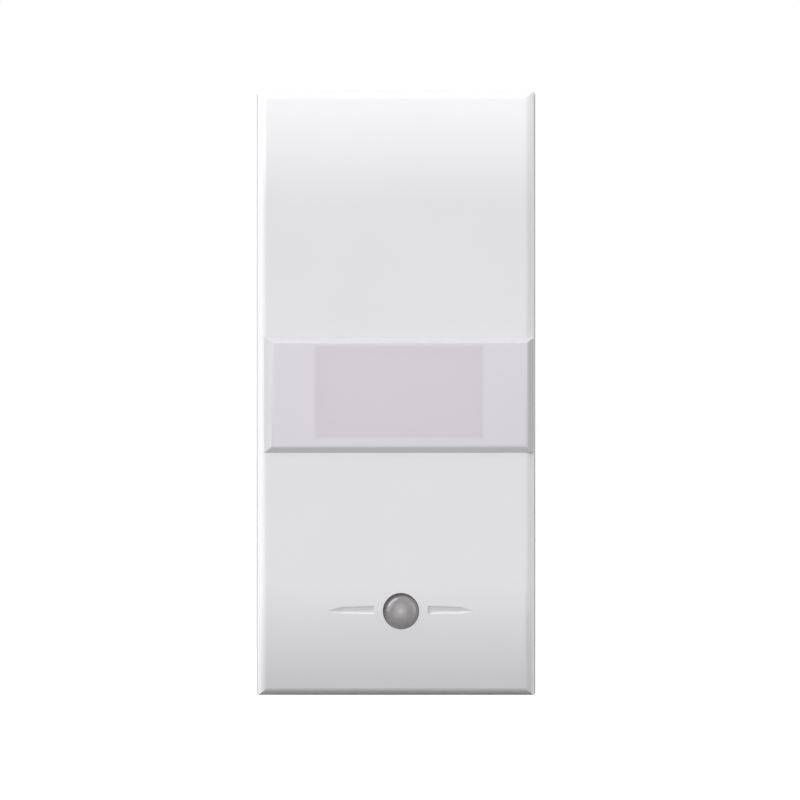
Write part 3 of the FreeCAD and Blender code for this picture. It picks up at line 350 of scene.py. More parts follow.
def make_materials():
    made = [
        moulded("key_white", KEY_WHITE, 0.36, texture=0.0015, grain=0.6),
        # frame_white is darker than key_white: painted shade on the frame's rim round the key.
        moulded("frame_white", FRAME_WHITE_WITH_PAINTED_SHADE, 0.42, grain=0.2),
        moulded("inner_white", srgb(214, 213, 212), 0.55),
        moulded("milky_diffuser", srgb(228, 226, 222), 0.5),
        moulded("plunger_cream", srgb(222, 214, 190), 0.5),
        moulded("case_grey", srgb(196, 198, 200), 0.5, texture=0.012, grain=0.35),
        moulded("label_card", srgb(222, 217, 223), 0.8, texture=0.006, grain=0.12),
        moulded("led_body", srgb(236, 234, 226), 0.35),
        moulded("led_lens", srgb(238, 206, 96), 0.15, texture=0.001, grain=0.2),
        moulded("capacitor_box", srgb(206, 150, 42), 0.4),
        moulded("resistor_body", srgb(190, 168, 132), 0.4),
        moulded("band_brown", srgb(96, 52, 30), 0.45),
        moulded("band_gold", srgb(176, 136, 60), 0.35),
        moulded("black_moulding", srgb(34, 34, 36), 0.5, texture=0.01, grain=0.15),
        moulded("board_green", srgb(26, 92, 56), 0.32),
        moulded("board_track", srgb(40, 118, 70), 0.3),
        metal("solder", srgb(196, 198, 200), 0.3, tarnish=0.08, streak=(3, 3, 3)),
        metal("contact_brass", srgb(214, 178, 108), 0.3),
        metal("clamp_brass", srgb(206, 184, 136), 0.34),
        metal("contact_silver", srgb(226, 225, 222), 0.22),
        metal("spring_steel", srgb(170, 172, 176), 0.28, tarnish=0.05, streak=(6, 6, 6)),
        metal("screw_steel", srgb(188, 190, 194), 0.26),
        # Painted shade: a darker steel for the floors of the screw slots, where shade falls.
        metal("slot_steel_painted_shade", srgb(112, 114, 118), 0.5),
        smoked_lens(),
        window_plastic(),
    ]
    return {shader.material.name: shader.material for shader in made}


materials = make_materials()
for name, node in nodes.items():
    node.data.materials.clear()
    node.data.materials.append(materials[slots[name]])


# Mesh helpers

def at(x, rise, z):
    """A point in metres from millimetres across, in front of the seat and up."""
    return Vector((x * MM, -rise * MM, z * MM))


def circle(radius, count):
    return [(radius * math.cos(turn), radius * math.sin(turn))
            for turn in (2 * math.pi * step / count for step in range(count))]


class Solid:
    """Closed forms gathered into one mesh."""

    def __init__(self):
        self.bm = bmesh.new()

    def box(self, x, rise, z, edge=0.1, steps=2, paint=0):
        """A box with rounded edges, each size given as low and high."""
        verts = bmesh.ops.create_cube(self.bm, size=1.0)["verts"]
        low, high = at(x[0], rise[1], z[0]), at(x[1], rise[0], z[1])
        for vert in verts:
            vert.co = Vector([low[i] + (vert.co[i] + 0.5) * (high[i] - low[i]) for i in range(3)])
        edges = list({line for vert in verts for line in vert.link_edges})
        made = bmesh.ops.bevel(self.bm, geom=edges, offset=edge * MM, segments=steps, profile=0.5,
                               affect="EDGES")
        faces = set(made["faces"])
        faces |= {face for vert in made["verts"] for face in vert.link_faces}
        for face in faces:
            face.material_index = paint
        return self

    def rings(self, rings, paint=0, close=True, paints=None):
        """Skins a list of rings of points, and closes the ends."""
        loops = [[self.bm.verts.new(point) for point in ring] for ring in rings]
        for step, (first, second) in enumerate(zip(loops, loops[1:])):
            count = len(first)
            for index in range(count):
                after = (index + 1) % count
                face = self.bm.faces.new((first[index], first[after], second[after], second[index]))
                face.material_index = paints[step] if paints else paint
        if close:
            for loop, order in ((loops[0], -1), (loops[-1], 1)):
                self.bm.faces.new(loop[::order]).material_index = paint
        return loops

    def lathe(self, x, z, profile, segments=48, paint=0, paints=None):
        """A turned form about the rise at (x, z). The profile is radius and rise, and an end that is
        closed to a point has the radius AXIS."""
        rings = [[at(x + across, rise, z + up) for across, up in circle(radius, segments)]
                 for radius, rise in profile]
        self.rings(rings, paint, paints=paints)
        return self

    def lathe_across(self, rise, z, profile, paints):
        """A turned form about a line across. The profile is radius and x."""
        self.rings([[at(x, rise + out, z + up) for out, up in circle(radius, 32)]
                    for radius, x in profile], paints=paints)
        return self

    def hoop(self, rings):
        """Skins a list of rings and joins the last one to the first."""
        loops = self.rings(rings, close=False)
        count = len(loops[0])
        for index in range(count):
            after = (index + 1) % count
            self.bm.faces.new((loops[-1][index], loops[-1][after], loops[0][after], loops[0][index]))
        return self

    def collar(self, centre, normal, inner, outer, low, high, edge):
        """A ring round a hole, with its two proud edges rounded. The normal is "rise" or "z"."""
        profile = [(inner, low), (inner + edge, high - edge / 3), (inner + 2 * edge, high),
                   (outer - edge, high), (outer, high - edge), (outer, low)]
        rings = []
        for radius, level in profile:
            spots = [(centre[0] + u, centre[1] + v) for u, v in circle(radius, 48)]
            rings.append([at(x, level, z) if normal == "rise" else at(x, z, level) for x, z in spots])
        return self.hoop(rings)

    def prism(self, corners, low, high, edge):
        """An outline of (x, z) corners from rise low to high, with the edge at high chamfered."""
        middle = [sum(corner[i] for corner in corners) / len(corners) for i in range(2)]
        way = math.copysign(edge, high - low)
        rings = []
        for rise, inset in ((low, 0), (high - way, 0), (high, edge)):
            ring = []
            for x, z in corners:
                out = Vector((x - middle[0], z - middle[1]))
                out *= 1 - inset / out.length
                ring.append(at(middle[0] + out.x, rise, middle[1] + out.y))
            rings.append(ring)
        self.rings(rings)
        return self

    def trace(self, route, half, low, high):
        """A flat wire along (x, z) points, square in section, with mitred bends."""
        edge = 0.04
        way = math.copysign(edge, high - low)
        rings = []
        for index, point in enumerate(route):
            spot = Vector(point)
            ways = [(Vector(after) - Vector(before)).normalized()
                    for before, after in zip(route, route[1:])]
            before, after = ways[max(index - 1, 0)], ways[min(index, len(ways) - 1)]
            side = (Vector((-before.y, before.x)) + Vector((-after.y, after.x))).normalized()
            side *= half / side.dot(Vector((-after.y, after.x)))
            ring = []
            for share, rise in ((1, low), (1, high - way), (1 - edge / half, high),
                                (edge / half - 1, high), (-1, high - way), (-1, low)):
                corner = spot + side * share
                ring.append(at(corner.x, rise, corner.y))
            rings.append(ring)
        self.rings(rings)
        return self

    def tube(self, route, radius, paint=0):
        """A round wire along a list of points."""
        rings = []
        for index, point in enumerate(route):
            before, after = route[max(index - 1, 0)], route[min(index + 1, len(route) - 1)]
            way = (after - before).normalized()
            side = way.cross(Vector((0, 0, 1))).normalized()
            up = side.cross(way)
            rings.append([point + (side * u + up * v) * MM for u, v in circle(radius, 16)])
        self.rings(rings, paint)
        return self

    def piece(self, name, body, slot, paint=None, crease=35):
        """The mesh becomes a piece with smooth faces, sharp where they meet at over crease degrees."""
        bmesh.ops.recalc_face_normals(self.bm, faces=self.bm.faces[:])
        mesh = bpy.data.meshes.new(name)
        self.bm.to_mesh(mesh)
        self.bm.free()
        mesh.shade_smooth()
        mesh.set_sharp_from_angle(angle=math.radians(crease))
        for material in paint or [slot]:
            mesh.materials.append(materials[material])
        piece = bpy.data.objects.new(name, mesh)
        bpy.context.scene.collection.objects.link(piece)
        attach(piece, body)
        return piece

    def stand_for(self, node, name, paint=None, crease=35):
        """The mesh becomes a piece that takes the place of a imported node."""
        piece = self.piece(name, body_of(nodes[node])[0], slots[node], paint, crease)
        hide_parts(node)
        return piece


# Name window and lens

def make_window():
    """The pane, short of the cap's end wall: mitred bevels, and the two legs that guide it."""
    leg_inner, leg_outer, leg_half_height, leg_edge = 8.55, 9.55, 1.6, 0.12
    bed = key_box.front - WINDOW_BED
    solid = Solid()

    def ring(share, rise, soft=0.0):
        """The outline that lies this share of each bevel's width inside the edge."""
        left, right = window_left + share * BEVEL["left"], window_box.right - share * BEVEL["right"]
        bottom = window_box.bottom - WINDOW_GAP_COVER + share * BEVEL["bottom"]
        top = window_box.top + WINDOW_GAP_COVER - share * BEVEL["top"]
        return [at(x, rise, z) for x, z in ((left + soft, bottom + soft), (right - soft, bottom + soft),
                                            (right - soft, top - soft), (left + soft, top - soft))]

    soft, steps = 0.03, 6
    proud = window_box.front - key_box.front
    loops = [ring(0, bed, soft), ring(0, bed + soft), ring(0, key_box.front)]
    for step in range(steps + 1):
        turned = step / steps
        loops.append(ring(1 + BEVEL_TURN * (2 * turned - 1),
                          window_box.front - BEVEL_TURN * proud * (1 - turned) ** 2))
    solid.rings(loops)
    for sign in SIGNS:
        solid.box(sorted((sign * leg_inner, sign * leg_outer)), (window_box.back, bed),
                  (window_box.z - leg_half_height, window_box.z + leg_half_height), leg_edge)
    solid.stand_for("name_window", "window_pane", crease=20)


def make_end_wall():
    """The cap's wall at the window's left end, which carries on the cap's rounded edge."""
    centre_x = key_box.left + END_WALL_SKIN + KEY_EDGE_ROUND
    centre_rise = key_box.front - END_WALL_SKIN - KEY_EDGE_ROUND
    inner = window_left - END_WALL_SEAM
    floor = key_box.front - WINDOW_BED - END_WALL_SEAM
    high_turn = math.acos((centre_x - inner) / KEY_EDGE_ROUND)
    low_turn = math.asin((floor - centre_rise) / KEY_EDGE_ROUND)
    steps = 10
    section = [(inner, floor)]
    for step in range(steps + 1):
        turn = high_turn + (low_turn - high_turn) * step / steps
        section.append((centre_x - KEY_EDGE_ROUND * math.cos(turn),
                        centre_rise + KEY_EDGE_ROUND * math.sin(turn)))
    half = window_box.height / 2 + 2 * END_WALL_SEAM
    solid = Solid()
    solid.rings([[at(x, rise, window_box.z + up * half) for x, rise in section] for up in (-1, 1)])
    solid.piece("window_end_wall", "key", "key_white")


def make_lens():
    """A shallow dome with a rounder shoulder, on a stem that guides the light."""
    stem, flange = 1.0, lens_box.width / 2
    flange_back, flange_front, soft = 7.05, 7.67, 0.06
    profile = [(AXIS, lens_box.back + soft), (stem - soft, lens_box.back + soft),
               (stem, lens_box.back + 2 * soft), (stem, flange_back), (flange - soft, flange_back),
               (flange, flange_back + soft), (flange, flange_front - soft),
               (flange - soft, flange_front), (LENS_RADIUS, flange_front)]
    shoulder, crown_tilt, rim_tilt, steps = 0.82, math.radians(15), math.radians(84), 12
    crown_reach = LENS_RADIUS - shoulder * (math.sin(rim_tilt) - math.sin(crown_tilt))
    crown_radius = crown_reach / math.sin(crown_tilt)
    crown_edge = lens_box.front - crown_radius * (1 - math.cos(crown_tilt))
    for step in range(steps + 1):
        tilt = rim_tilt + (crown_tilt - rim_tilt) * step / steps
        profile.append((crown_reach + shoulder * (math.sin(tilt) - math.sin(crown_tilt)),
                        crown_edge - shoulder * (math.cos(crown_tilt) - math.cos(tilt))))
    for step in range(1, steps):
        tilt = crown_tilt * (1 - step / steps)
        profile.append((crown_radius * math.sin(tilt),
                        lens_box.front - crown_radius * (1 - math.cos(tilt))))
    solid = Solid().lathe(lens_box.x, lens_box.z, profile, 64)
    solid.stand_for("indicator_lens", "lens_dome", crease=50)


make_window()
make_end_wall()
make_lens()


# Terminals

SCREW_SLOT = 0.6
SCREW_SLOT_DEPTH = 0.6
SCREW_HEAD_THICK = 1.2
THREAD_PITCH = 0.5
THREAD_DEPTH = 0.2
SHANK_RADIUS = 1.5


def thread(solid, x, z, low, high):
    """A shank whose radius follows a screw thread, run out at both ends."""
    segments, per_turn, runout_steps = 32, 8, 6
    steps = round((high - low) / THREAD_PITCH * per_turn)
    rings = []
    for step in range(steps + 1):
        rise = low + (high - low) * step / steps
        runout = min(1.0, min(step, steps - step) / runout_steps)
        ring = []
        for index in range(segments):
            turn = index / segments
            phase = ((rise - low) / THREAD_PITCH + turn) % 1.0
            radius = SHANK_RADIUS - THREAD_DEPTH * (1 - runout * abs(2 * phase - 1))
            angle = 2 * math.pi * turn
            ring.append(at(x + radius * math.cos(angle), rise, z + radius * math.sin(angle)))
        rings.append(ring)
    solid.rings(rings)


def make_screw(number):
    """A clamp screw: a head of four rounded quarters between its slots, and a cut thread."""
    box = Extent(f"terminal_screw_{number}")
    radius = box.width / 2
    head_front = box.back + SCREW_HEAD_THICK
    slot_floor = box.back + SCREW_SLOT_DEPTH
    soft = 0.12
    # The slot floor takes the second, darker steel: painted shade in the slots.
    solid = Solid().lathe(box.x, box.z, [
        (AXIS, slot_floor), (radius, slot_floor), (radius, head_front - soft),
        (radius - soft, head_front), (AXIS, head_front)], paint=1, paints=[1, 0, 0, 0])
    half_slot = SCREW_SLOT / 2
    start = math.asin(half_slot / radius)
    sweep = math.pi / 2 - 2 * start
    steps = 12
    for quarter in range(4):
        turn = quarter * math.pi / 2
        corners = [(half_slot, half_slot)]
        corners += [(radius * math.cos(start + sweep * step / steps),
                     radius * math.sin(start + sweep * step / steps)) for step in range(steps + 1)]
        corners = [(box.x + x * math.cos(turn) - z * math.sin(turn),
                    box.z + x * math.sin(turn) + z * math.cos(turn)) for x, z in corners]
        solid.prism(corners, slot_floor + soft / 2, box.back, soft)
    thread(solid, box.x, box.z, head_front, box.front)
    solid.stand_for(f"terminal_screw_{number}", f"clamp_screw_{number}", ["screw_steel", "slot_steel_painted_shade"])


def make_contact_tip(node, piece, facing):
    """A silver rivet with a domed face. It faces the way its partner is."""
    box = Extent(node)
    radius = box.width / 2
    seat, crown = (box.back, box.front) if facing > 0 else (box.front, box.back)
    way = math.copysign(1, crown - seat)
    rim, dome, steps = 0.2, 0.3, 8
    profile = [(AXIS, seat), (radius, seat), (radius, seat + way * rim)]
    for step in range(1, steps + 1):
        angle = math.pi / 2 * step / steps
        profile.append((max(AXIS, radius * math.cos(angle)), seat + way * (rim + dome * math.sin(angle))))
    Solid().lathe(box.x, box.z, profile, 40).stand_for(node, piece)


def make_retaining_clip():
    """A push-on ring whose inner teeth grip the spindle."""
    box = Extent("retaining_clip")
    outer, grip, root, soft, teeth, per_tooth = box.width / 2, 1.3, 1.65, 0.08, 8, 6
    count = teeth * per_tooth
    outline = [(u, v, grip if index % per_tooth else root)
               for index, (u, v) in enumerate(circle(1.0, count))]
    rings = [[at(box.x + u * reach, rise, box.z + v * reach) for u, v, _ in outline]
             for rise, reach in ((box.back, outer - soft), (box.back + soft, outer),
                                 (box.front - soft, outer), (box.front, outer - soft))]
    rings += [[at(box.x + u * inner, rise, box.z + v * inner) for u, v, inner in outline]
              for rise in (box.front, box.back)]
    Solid().hoop(rings).stand_for("retaining_clip", "push_on_ring")


def make_return_spring():
    """A coil with a closed turn at each end."""
    box = Extent("return_spring")
    thick, turns, closed_pitch, plunger_travel = 0.4, 8, 0.46, 1.2
    mean = (box.width - thick) / 2
    length = box.front - box.back
    open_pitch = (length - thick - 2 * closed_pitch) / (turns - 2)
    per_turn, segments = 32, 12
    rings = []
    for step in range(per_turn * turns + 1):
        done = step / per_turn
        open_turns = min(max(done - 1, 0), turns - 2)
        climb = open_pitch * open_turns + closed_pitch * (done - open_turns)
        turn = 2 * math.pi * done
        rings.append([at(box.x + (mean + out) * math.cos(turn), box.back + thick / 2 + climb + up,
                         box.z + (mean + out) * math.sin(turn))
                      for out, up in circle(thick / 2, segments)])
    solid = Solid()
    solid.rings(rings)
    spring = solid.stand_for("return_spring", "return_coil")
    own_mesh(spring)


for number in TERMINALS:
    make_screw(number)
for side, _ in SIDES:
    make_contact_tip(f"fixed_tip_{side}", f"fixed_rivet_{side}", 1)
    make_contact_tip(f"moving_tip_{side}", f"moving_rivet_{side}", -1)
make_retaining_clip()
make_return_spring()


# Lamp board

board_box = Extent("lamp_board")
CAPACITOR_LEAD = 3.75
RESISTOR_LEAD = 4.15
RECTIFIER_LEG = 1.3


def make_led(node):
    """A moulded body with a round cup of yellow phosphor and two solder ends."""
    box = Extent(node)
    crown, end, end_inset, end_drop, end_edge, body_edge = 0.2, 0.45, 0.2, 0.25, 0.06, 0.08
    cup, cup_rise, mouth, lip, bulge, steps, segments = 1.0, 0.1, 0.85, 0.08, 0.12, 8, 40
    body_front = box.front - crown
    solid = Solid().box((box.left + end / 2, box.right - end / 2), (box.back, body_front),
                        (box.bottom, box.top), body_edge)
    for low, high in ((box.left, box.left + end), (box.right - end, box.right)):
        solid.box((low, high), (box.back, body_front - end_drop),
                  (box.bottom + end_inset, box.top - end_inset), end_edge, paint=2)
    solid.lathe(box.x, box.z, [(cup, body_front - cup_rise), (cup, body_front + lip),
                               (mouth, body_front + cup_rise)], segments)
    dome = []
    for step in range(steps):
        angle = math.pi / 2 * step / steps
        dome.append((mouth * math.cos(angle), body_front + lip + bulge * math.sin(angle)))
    dome.append((AXIS, box.front))
    solid.lathe(box.x, box.z, dome, segments, paint=1)
    solid.stand_for(node, f"{node}_package", ["led_body", "led_lens", "solder"])


def make_capacitor():
    """A film capacitor: a moulded box on feet, with a mark line round its lid."""
    box = Extent("dropper_capacitor")
    gap, lid, overlap, inset, corner = 0.3, 0.5, 0.4, 0.12, 0.35
    foot_place, foot_half, foot_high, foot_inset, foot_edge = 0.9, 0.5, 0.5, 0.3, 0.08
    lead, lead_high = 0.3, 0.2
    solid = Solid()
    solid.box((box.left, box.right), (box.back + gap, box.front - lid), (box.bottom, box.top), corner, 3)
    solid.box((box.left + inset, box.right - inset), (box.front - lid - overlap, box.front),
              (box.bottom + inset, box.top - inset), corner, 3)
    for sign in SIGNS:
        foot = box.x + sign * (box.width / 2 - foot_place)
        solid.box((foot - foot_half, foot + foot_half), (box.back, box.back + gap + foot_high),
                  (box.bottom + foot_inset, box.top - foot_inset), foot_edge)
        x = box.x + sign * CAPACITOR_LEAD
        solid.tube([at(x, box.back, box.z), at(x, box.back + gap + lead_high, box.z)], lead, paint=1)
    solid.stand_for("dropper_capacitor", "film_capacitor", ["capacitor_box", "solder"])


def make_resistor():
    """A wound resistor: bulged ends, colour bands and leads bent down to the board."""
    box = Extent("bleed_resistor")
    radius = box.height / 2
    middle = box.back + radius
    half, waist, half_band = 3.15, 0.92 * radius, 0.16
    bands = (-1.25, -0.55, 0.15, 1.3)
    bulged_end = [(AXIS, 0.0), (0.6 * radius, 0.0), (0.93 * radius, 0.18), (radius, 0.5), (radius, 1.0),
                  (waist, 1.35)]
    profile = [(reach, depth - half) for reach, depth in bulged_end]
    paints = [0] * (len(bulged_end) - 1)
    for place in bands:
        profile += [(waist, place - half_band), (waist, place + half_band)]
        paints += [0, 3 if place == bands[-1] else 2]
    profile += [(reach, half - depth) for reach, depth in reversed(bulged_end)]
    paints += [0] * len(bulged_end)
    solid = Solid().lathe_across(middle, box.z, [(r, box.x + x) for r, x in profile], paints=paints)
    lead, bend, sunk, margin, steps = 0.3, 0.6, 0.3, 0.1, 6
    for sign in SIGNS:
        end = box.x + sign * (box.width / 2 - lead - margin)
        route = [at(box.x + sign * (half - sunk), middle, box.z)]
        for step in range(steps + 1):
            angle = math.pi / 2 * step / steps
            route.append(at(end - sign * bend * (1 - math.sin(angle)),
                            middle - bend * (1 - math.cos(angle)), box.z))
        route.append(at(end, box.back, box.z))
        solid.tube(route, lead, paint=1)
    solid.stand_for("bleed_resistor", "banded_resistor",
                    ["resistor_body", "solder", "band_brown", "band_gold"])


def make_rectifier():
    """A bridge rectifier: a drafted black body with a mark line and four bent legs."""
    box = Extent("rectifier")
    lift, draft, top_draft, corner = 0.35, 0.12, 0.2, 0.06
    mark_inset, mark_low, mark_high, mark_near, mark_far, mark_edge = 0.25, 0.02, 0.01, 0.45, 0.55, 0.003
    leg_out, leg_root, leg_bend, leg_half = 0.7, 0.1, 0.25, 0.3
    leg_low, leg_high, leg_edge = 0.1, 0.08, 0.04
    middle = (box.back + box.front) / 2
    leg_top = middle + leg_high
    half_width, half_height = box.width / 2, box.height / 2 - leg_out
    rings = []
    for rise, inset in ((box.back + lift, draft), (middle, 0.0), (box.front - corner, draft),
                        (box.front, top_draft)):
        x, z = half_width - inset, half_height - inset
        rings.append([at(box.x + sx * x, rise, box.z + sz * z)
                      for sx, sz in ((-1, -1), (1, -1), (1, 1), (-1, 1))])
    solid = Solid()
    solid.rings(rings)
    solid.box((box.left + mark_inset, box.right - mark_inset),
              (box.front - mark_low, box.front - mark_high),
              (box.z + half_height - mark_far, box.z + half_height - mark_near), mark_edge, 1, paint=2)
    for sign in SIGNS:
        for up in SIGNS:
            x = box.x + sign * RECTIFIER_LEG
            across = (x - leg_half, x + leg_half)
            near, far = box.z + up * (half_height - leg_root), box.z + up * box.height / 2
            bend = box.z + up * (half_height + leg_bend)
            for rise, reach in (((middle - leg_low, leg_top), (near, bend)),
                                ((box.back, leg_top), (bend - up * leg_low, bend + up * leg_high)),
                                ((box.back, box.back + leg_low + leg_high), (bend, far))):
                solid.box(across, rise, sorted(reach), leg_edge, paint=1)
    solid.stand_for("rectifier", "bridge_rectifier", ["black_moulding", "solder", "led_body"])


def make_board_print():
    """Tracks under the green lacquer, and tinned pads with solder round each lead."""
    face = board_box.front
    track, half_track, track_edge, sunk = 0.035, 0.35, 0.02, 0.05
    feed_gap, feed_rail, mid_rail, cross_rail, low_rail = 1.6, 3.2, 3.0, -4.6, -9.6
    left_rail, lamp_rail, right_rail = -6.6, -7.4, 7.2
    led_left, led_right = Extent("label_led_left"), Extent("label_led_right")
    low_led = Extent("indicator_led")
    capacitor, resistor, rectifier = (Extent(name) for name in
                                      ("dropper_capacitor", "bleed_resistor", "rectifier"))
    tab = Extent("lamp_contact_right")
    feed, bleed, leg = tab.x + feed_gap, resistor.x - RESISTOR_LEAD, rectifier.x + RECTIFIER_LEG
    routes = [
        ((-tab.x, tab.bottom), (-tab.x, capacitor.z), (capacitor.x - CAPACITOR_LEAD, capacitor.z)),
        ((capacitor.x + CAPACITOR_LEAD, capacitor.z), (feed, capacitor.z), (feed, feed_rail),
         (RECTIFIER_LEG, feed_rail)),
        ((bleed, resistor.z), (bleed, mid_rail), (left_rail, mid_rail), (left_rail, cross_rail),
         (-RECTIFIER_LEG, cross_rail)),
        ((leg, rectifier.bottom), (leg, low_rail), (right_rail, low_rail), (right_rail, led_right.z),
         (led_right.right, led_right.z)),
        ((led_left.right, led_left.z), (led_right.left, led_right.z)),
        ((led_left.left, led_left.z), (lamp_rail, led_left.z), (lamp_rail, low_led.z),
         (low_led.left, low_led.z)),
        ((low_led.right, low_led.z), (right_rail, low_led.z), (right_rail, low_rail)),
    ]
    lacquer = Solid()
    for route in routes:
        for (x0, z0), (x1, z1) in zip(route, route[1:]):
            lacquer.box((min(x0, x1) - half_track, max(x0, x1) + half_track), (face - sunk, face + track),
                        (min(z0, z1) - half_track, max(z0, z1) + half_track), track_edge, 1)
    lacquer.piece("board_tracks", "housing", "board_green", ["board_track"])
    pad, pad_edge, half_pad, half_pad_height, segments = 0.06, 0.03, 0.45, 0.8, 28
    cone = [(0.85, -sunk), (0.85, pad), (0.6, pad + 0.05), (0.42, pad + 0.16), (0.32, 0.28), (AXIS, 0.3)]
    tin = Solid()
    for item, reach in ((capacitor, CAPACITOR_LEAD), (resistor, RESISTOR_LEAD)):
        for sign in SIGNS:
            tin.lathe(item.x + sign * reach, item.z, [(r, face + up) for r, up in cone], segments)
    for led in (led_left, led_right, low_led):
        for x in (led.left, led.right):
            tin.box((x - half_pad, x + half_pad), (face - sunk, face + pad),
                    (led.z - half_pad_height, led.z + half_pad_height), pad_edge, 1)
    tin.piece("board_pads", "housing", "contact_silver", ["solder"])


for led in ("label_led_left", "label_led_right", "indicator_led"):
    make_led(led)
make_capacitor()
make_resistor()
make_rectifier()
make_board_print()


# Case

case_box = Extent("rear_case")
NUMERAL_SIZE = 2.6 * 1.35
NUMERAL_PROUD = 0.18
NUMERAL_EDGE = 0.04
NUMERAL_RISE = -12.6
ENTRY_RADIUS = 1.4
ENTRY_RISE = -19.125
RIB_HEIGHTS = (-11.0, 0.0, 11.0)
RIB_REACH = (-20.6, -8.2)
MARK_DEPTH = 0.3
SIGN_PROUD = 0.22
SIGN_LINE = 0.42


def make_numeral(number):
    """A raised terminal number in front of its wire entry."""
    screw = Extent(f"terminal_screw_{number}")
    up = math.copysign(1, screw.z)
    curve = bpy.data.curves.new(f"numeral_{number}", "FONT")
    curve.body = number
    curve.size = NUMERAL_SIZE * MM
    curve.align_x = "CENTER"
    curve.align_y = "CENTER"
    curve.extrude = NUMERAL_PROUD * MM
    curve.bevel_depth = NUMERAL_EDGE * MM
    text = bpy.data.objects.new(f"numeral_{number}", curve)
    bpy.context.scene.collection.objects.link(text)
    bpy.context.view_layer.update()
    mesh = bpy.data.meshes.new_from_object(text)
    bpy.data.objects.remove(text)
    wall = case_box.top if up > 0 else case_box.bottom
    for vert in mesh.vertices:
        across, along, out = vert.co.x, vert.co.y, vert.co.z
        vert.co = Vector((screw.x * MM - up * across, -NUMERAL_RISE * MM - along, wall * MM + up * out))
    solid = Solid()
    solid.bm.from_mesh(mesh)
    solid.piece(f"raised_numeral_{number}", "housing", "case_grey")


def make_entry_collar(number):
    """A raised rim round a wire entry, with a lead-in for the wire."""
    screw = Extent(f"terminal_screw_{number}")
    up = math.copysign(1, screw.z)
    wall = case_box.top if up > 0 else case_box.bottom
    play, breadth, sunk, proud, edge = 0.05, 0.75, 0.2, 0.3, 0.12
    solid = Solid().collar((screw.x, ENTRY_RISE), "z", ENTRY_RADIUS + play, ENTRY_RADIUS + breadth,
                           wall - up * sunk, wall + up * proud, up * edge)
    solid.piece(f"entry_rim_{number}", "housing", "case_grey")


def make_side_ribs():
    """Three ribs on each side wall that space the module from its neighbour."""
    sunk, proud, half, edge = 0.3, 0.22, 0.45, 0.15
    for side, sign in SIDES:
        wall = case_box.right if sign > 0 else case_box.left
        solid = Solid()
        for z in RIB_HEIGHTS:
            solid.box(sorted((wall - sign * sunk, wall + sign * proud)), RIB_REACH, (z - half, z + half),
                      edge, 3)
        solid.piece(f"spacer_ribs_{side}", "housing", "case_grey")


def make_signs():
    """Raised signs in the rear wall's field: a lamp for the upper terminals and a push contact
    for the lower ones, each with its two wires."""
    sunk, middle, end = 0.1, 4.6, 8.6
    floor, top = case_box.back + MARK_DEPTH + sunk, case_box.back + MARK_DEPTH - SIGN_PROUD
    half, reach = SIGN_LINE / 2, Extent("terminal_screw_2").x
    lamp, lamp_edge, spoke_drop = 1.9, 0.05, 0.03
    dot_place, dot, dot_edge = 1.7, 0.45, 0.05
    bridge, half_bridge, press, half_press = 1.0 - middle, 2.3, 2.6 - middle, 0.9
    solid = Solid()
    solid.collar((0, middle), "rise", lamp - half, lamp + half, floor, top, -lamp_edge)
    spoke = lamp - half
    for turn in range(4):
        angle = math.radians(45 + 90 * turn)
        out = (math.cos(angle), math.sin(angle))
        inner = half if turn % 2 else 0
        solid.trace([(inner * out[0], middle + inner * out[1]),
                     (spoke * out[0], middle + spoke * out[1])], half, floor, top + spoke_drop)
    for sign in SIGNS:
        solid.trace([(sign * (lamp + half), middle), (sign * reach, middle), (sign * reach, end)],
                    half, floor, top)
        solid.lathe(sign * dot_place, -middle, [(AXIS, floor), (dot, floor), (dot, top + dot_edge),
                                                (dot - dot_edge, top), (AXIS, top)], 24)
        solid.trace([(sign * (dot_place + dot), -middle), (sign * reach, -middle), (sign * reach, -end)],
                    half, floor, top)
    solid.trace([(-half_bridge, bridge), (half_bridge, bridge)], half, floor, top)
    solid.trace([(0, bridge + half), (0, press - half)], half, floor, top)
    solid.trace([(-half_press, press), (half_press, press)], half, floor, top)
    solid.piece("raised_signs", "housing", "case_grey")


for number in TERMINALS:
    make_numeral(number)
    make_entry_collar(number)
make_side_ribs()
make_signs()


# Camera

PIXELS = 800
PIXELS_PER_MM = 12.5
OBJECT_MIDDLE = (396.0, 393.25)
CAMERA_DISTANCE = 1.5
SENSOR_WIDTH = 36.0


def make_camera():
    """A long lens straight in front, framed as the photograph is."""
    width = PIXELS / PIXELS_PER_MM * MM
    data = bpy.data.cameras.new("camera")
    data.sensor_width = SENSOR_WIDTH
    data.lens = SENSOR_WIDTH * CAMERA_DISTANCE / width
    data.clip_end = 100.0
    camera = bpy.data.objects.new("camera", data)
    across = (PIXELS / 2 - OBJECT_MIDDLE[0]) / PIXELS_PER_MM * MM
    up = (OBJECT_MIDDLE[1] - PIXELS / 2) / PIXELS_PER_MM * MM
    camera.location = (across, -key_box.front * MM - CAMERA_DISTANCE, up)
    camera.rotation_euler = (math.radians(90), 0, 0)
    bpy.context.scene.collection.objects.link(camera)
    bpy.context.scene.camera = camera


make_camera()


# Light and stage

FLOOR_GAP = 12.0
FLOOR_SIZE = 2.4
FLOOR_GRAIN = 60.0
FLOOR_ROUGHNESS = 0.8
STRIP_LEVEL = 0.3
STRIP_PLACE = (49, 44)
STRIP_DISTANCE = 4.0
STRIP_HALF_LENGTH = 27
STRIP_HALF_BREADTH = 4.5
LEFT_LEVEL = 0.62
LEFT_PLACE = (63, 25)
RIGHT_LEVEL = 0.4
RIGHT_PLACE = (-90, 0)
BROAD_SPREAD = 74
AMBIENT = 0.9
FLOOR_PALE = 0.8
FLOOR_CALM = 0.09
DIRECT_RAYS = ("Is Camera Ray", "Is Glossy Ray", "Is Transmission Ray")


def strip_size(half_angle):
    """The size that the strip lamp shows at this half angle in degrees."""
    return 2 * STRIP_DISTANCE * math.tan(math.radians(half_angle))


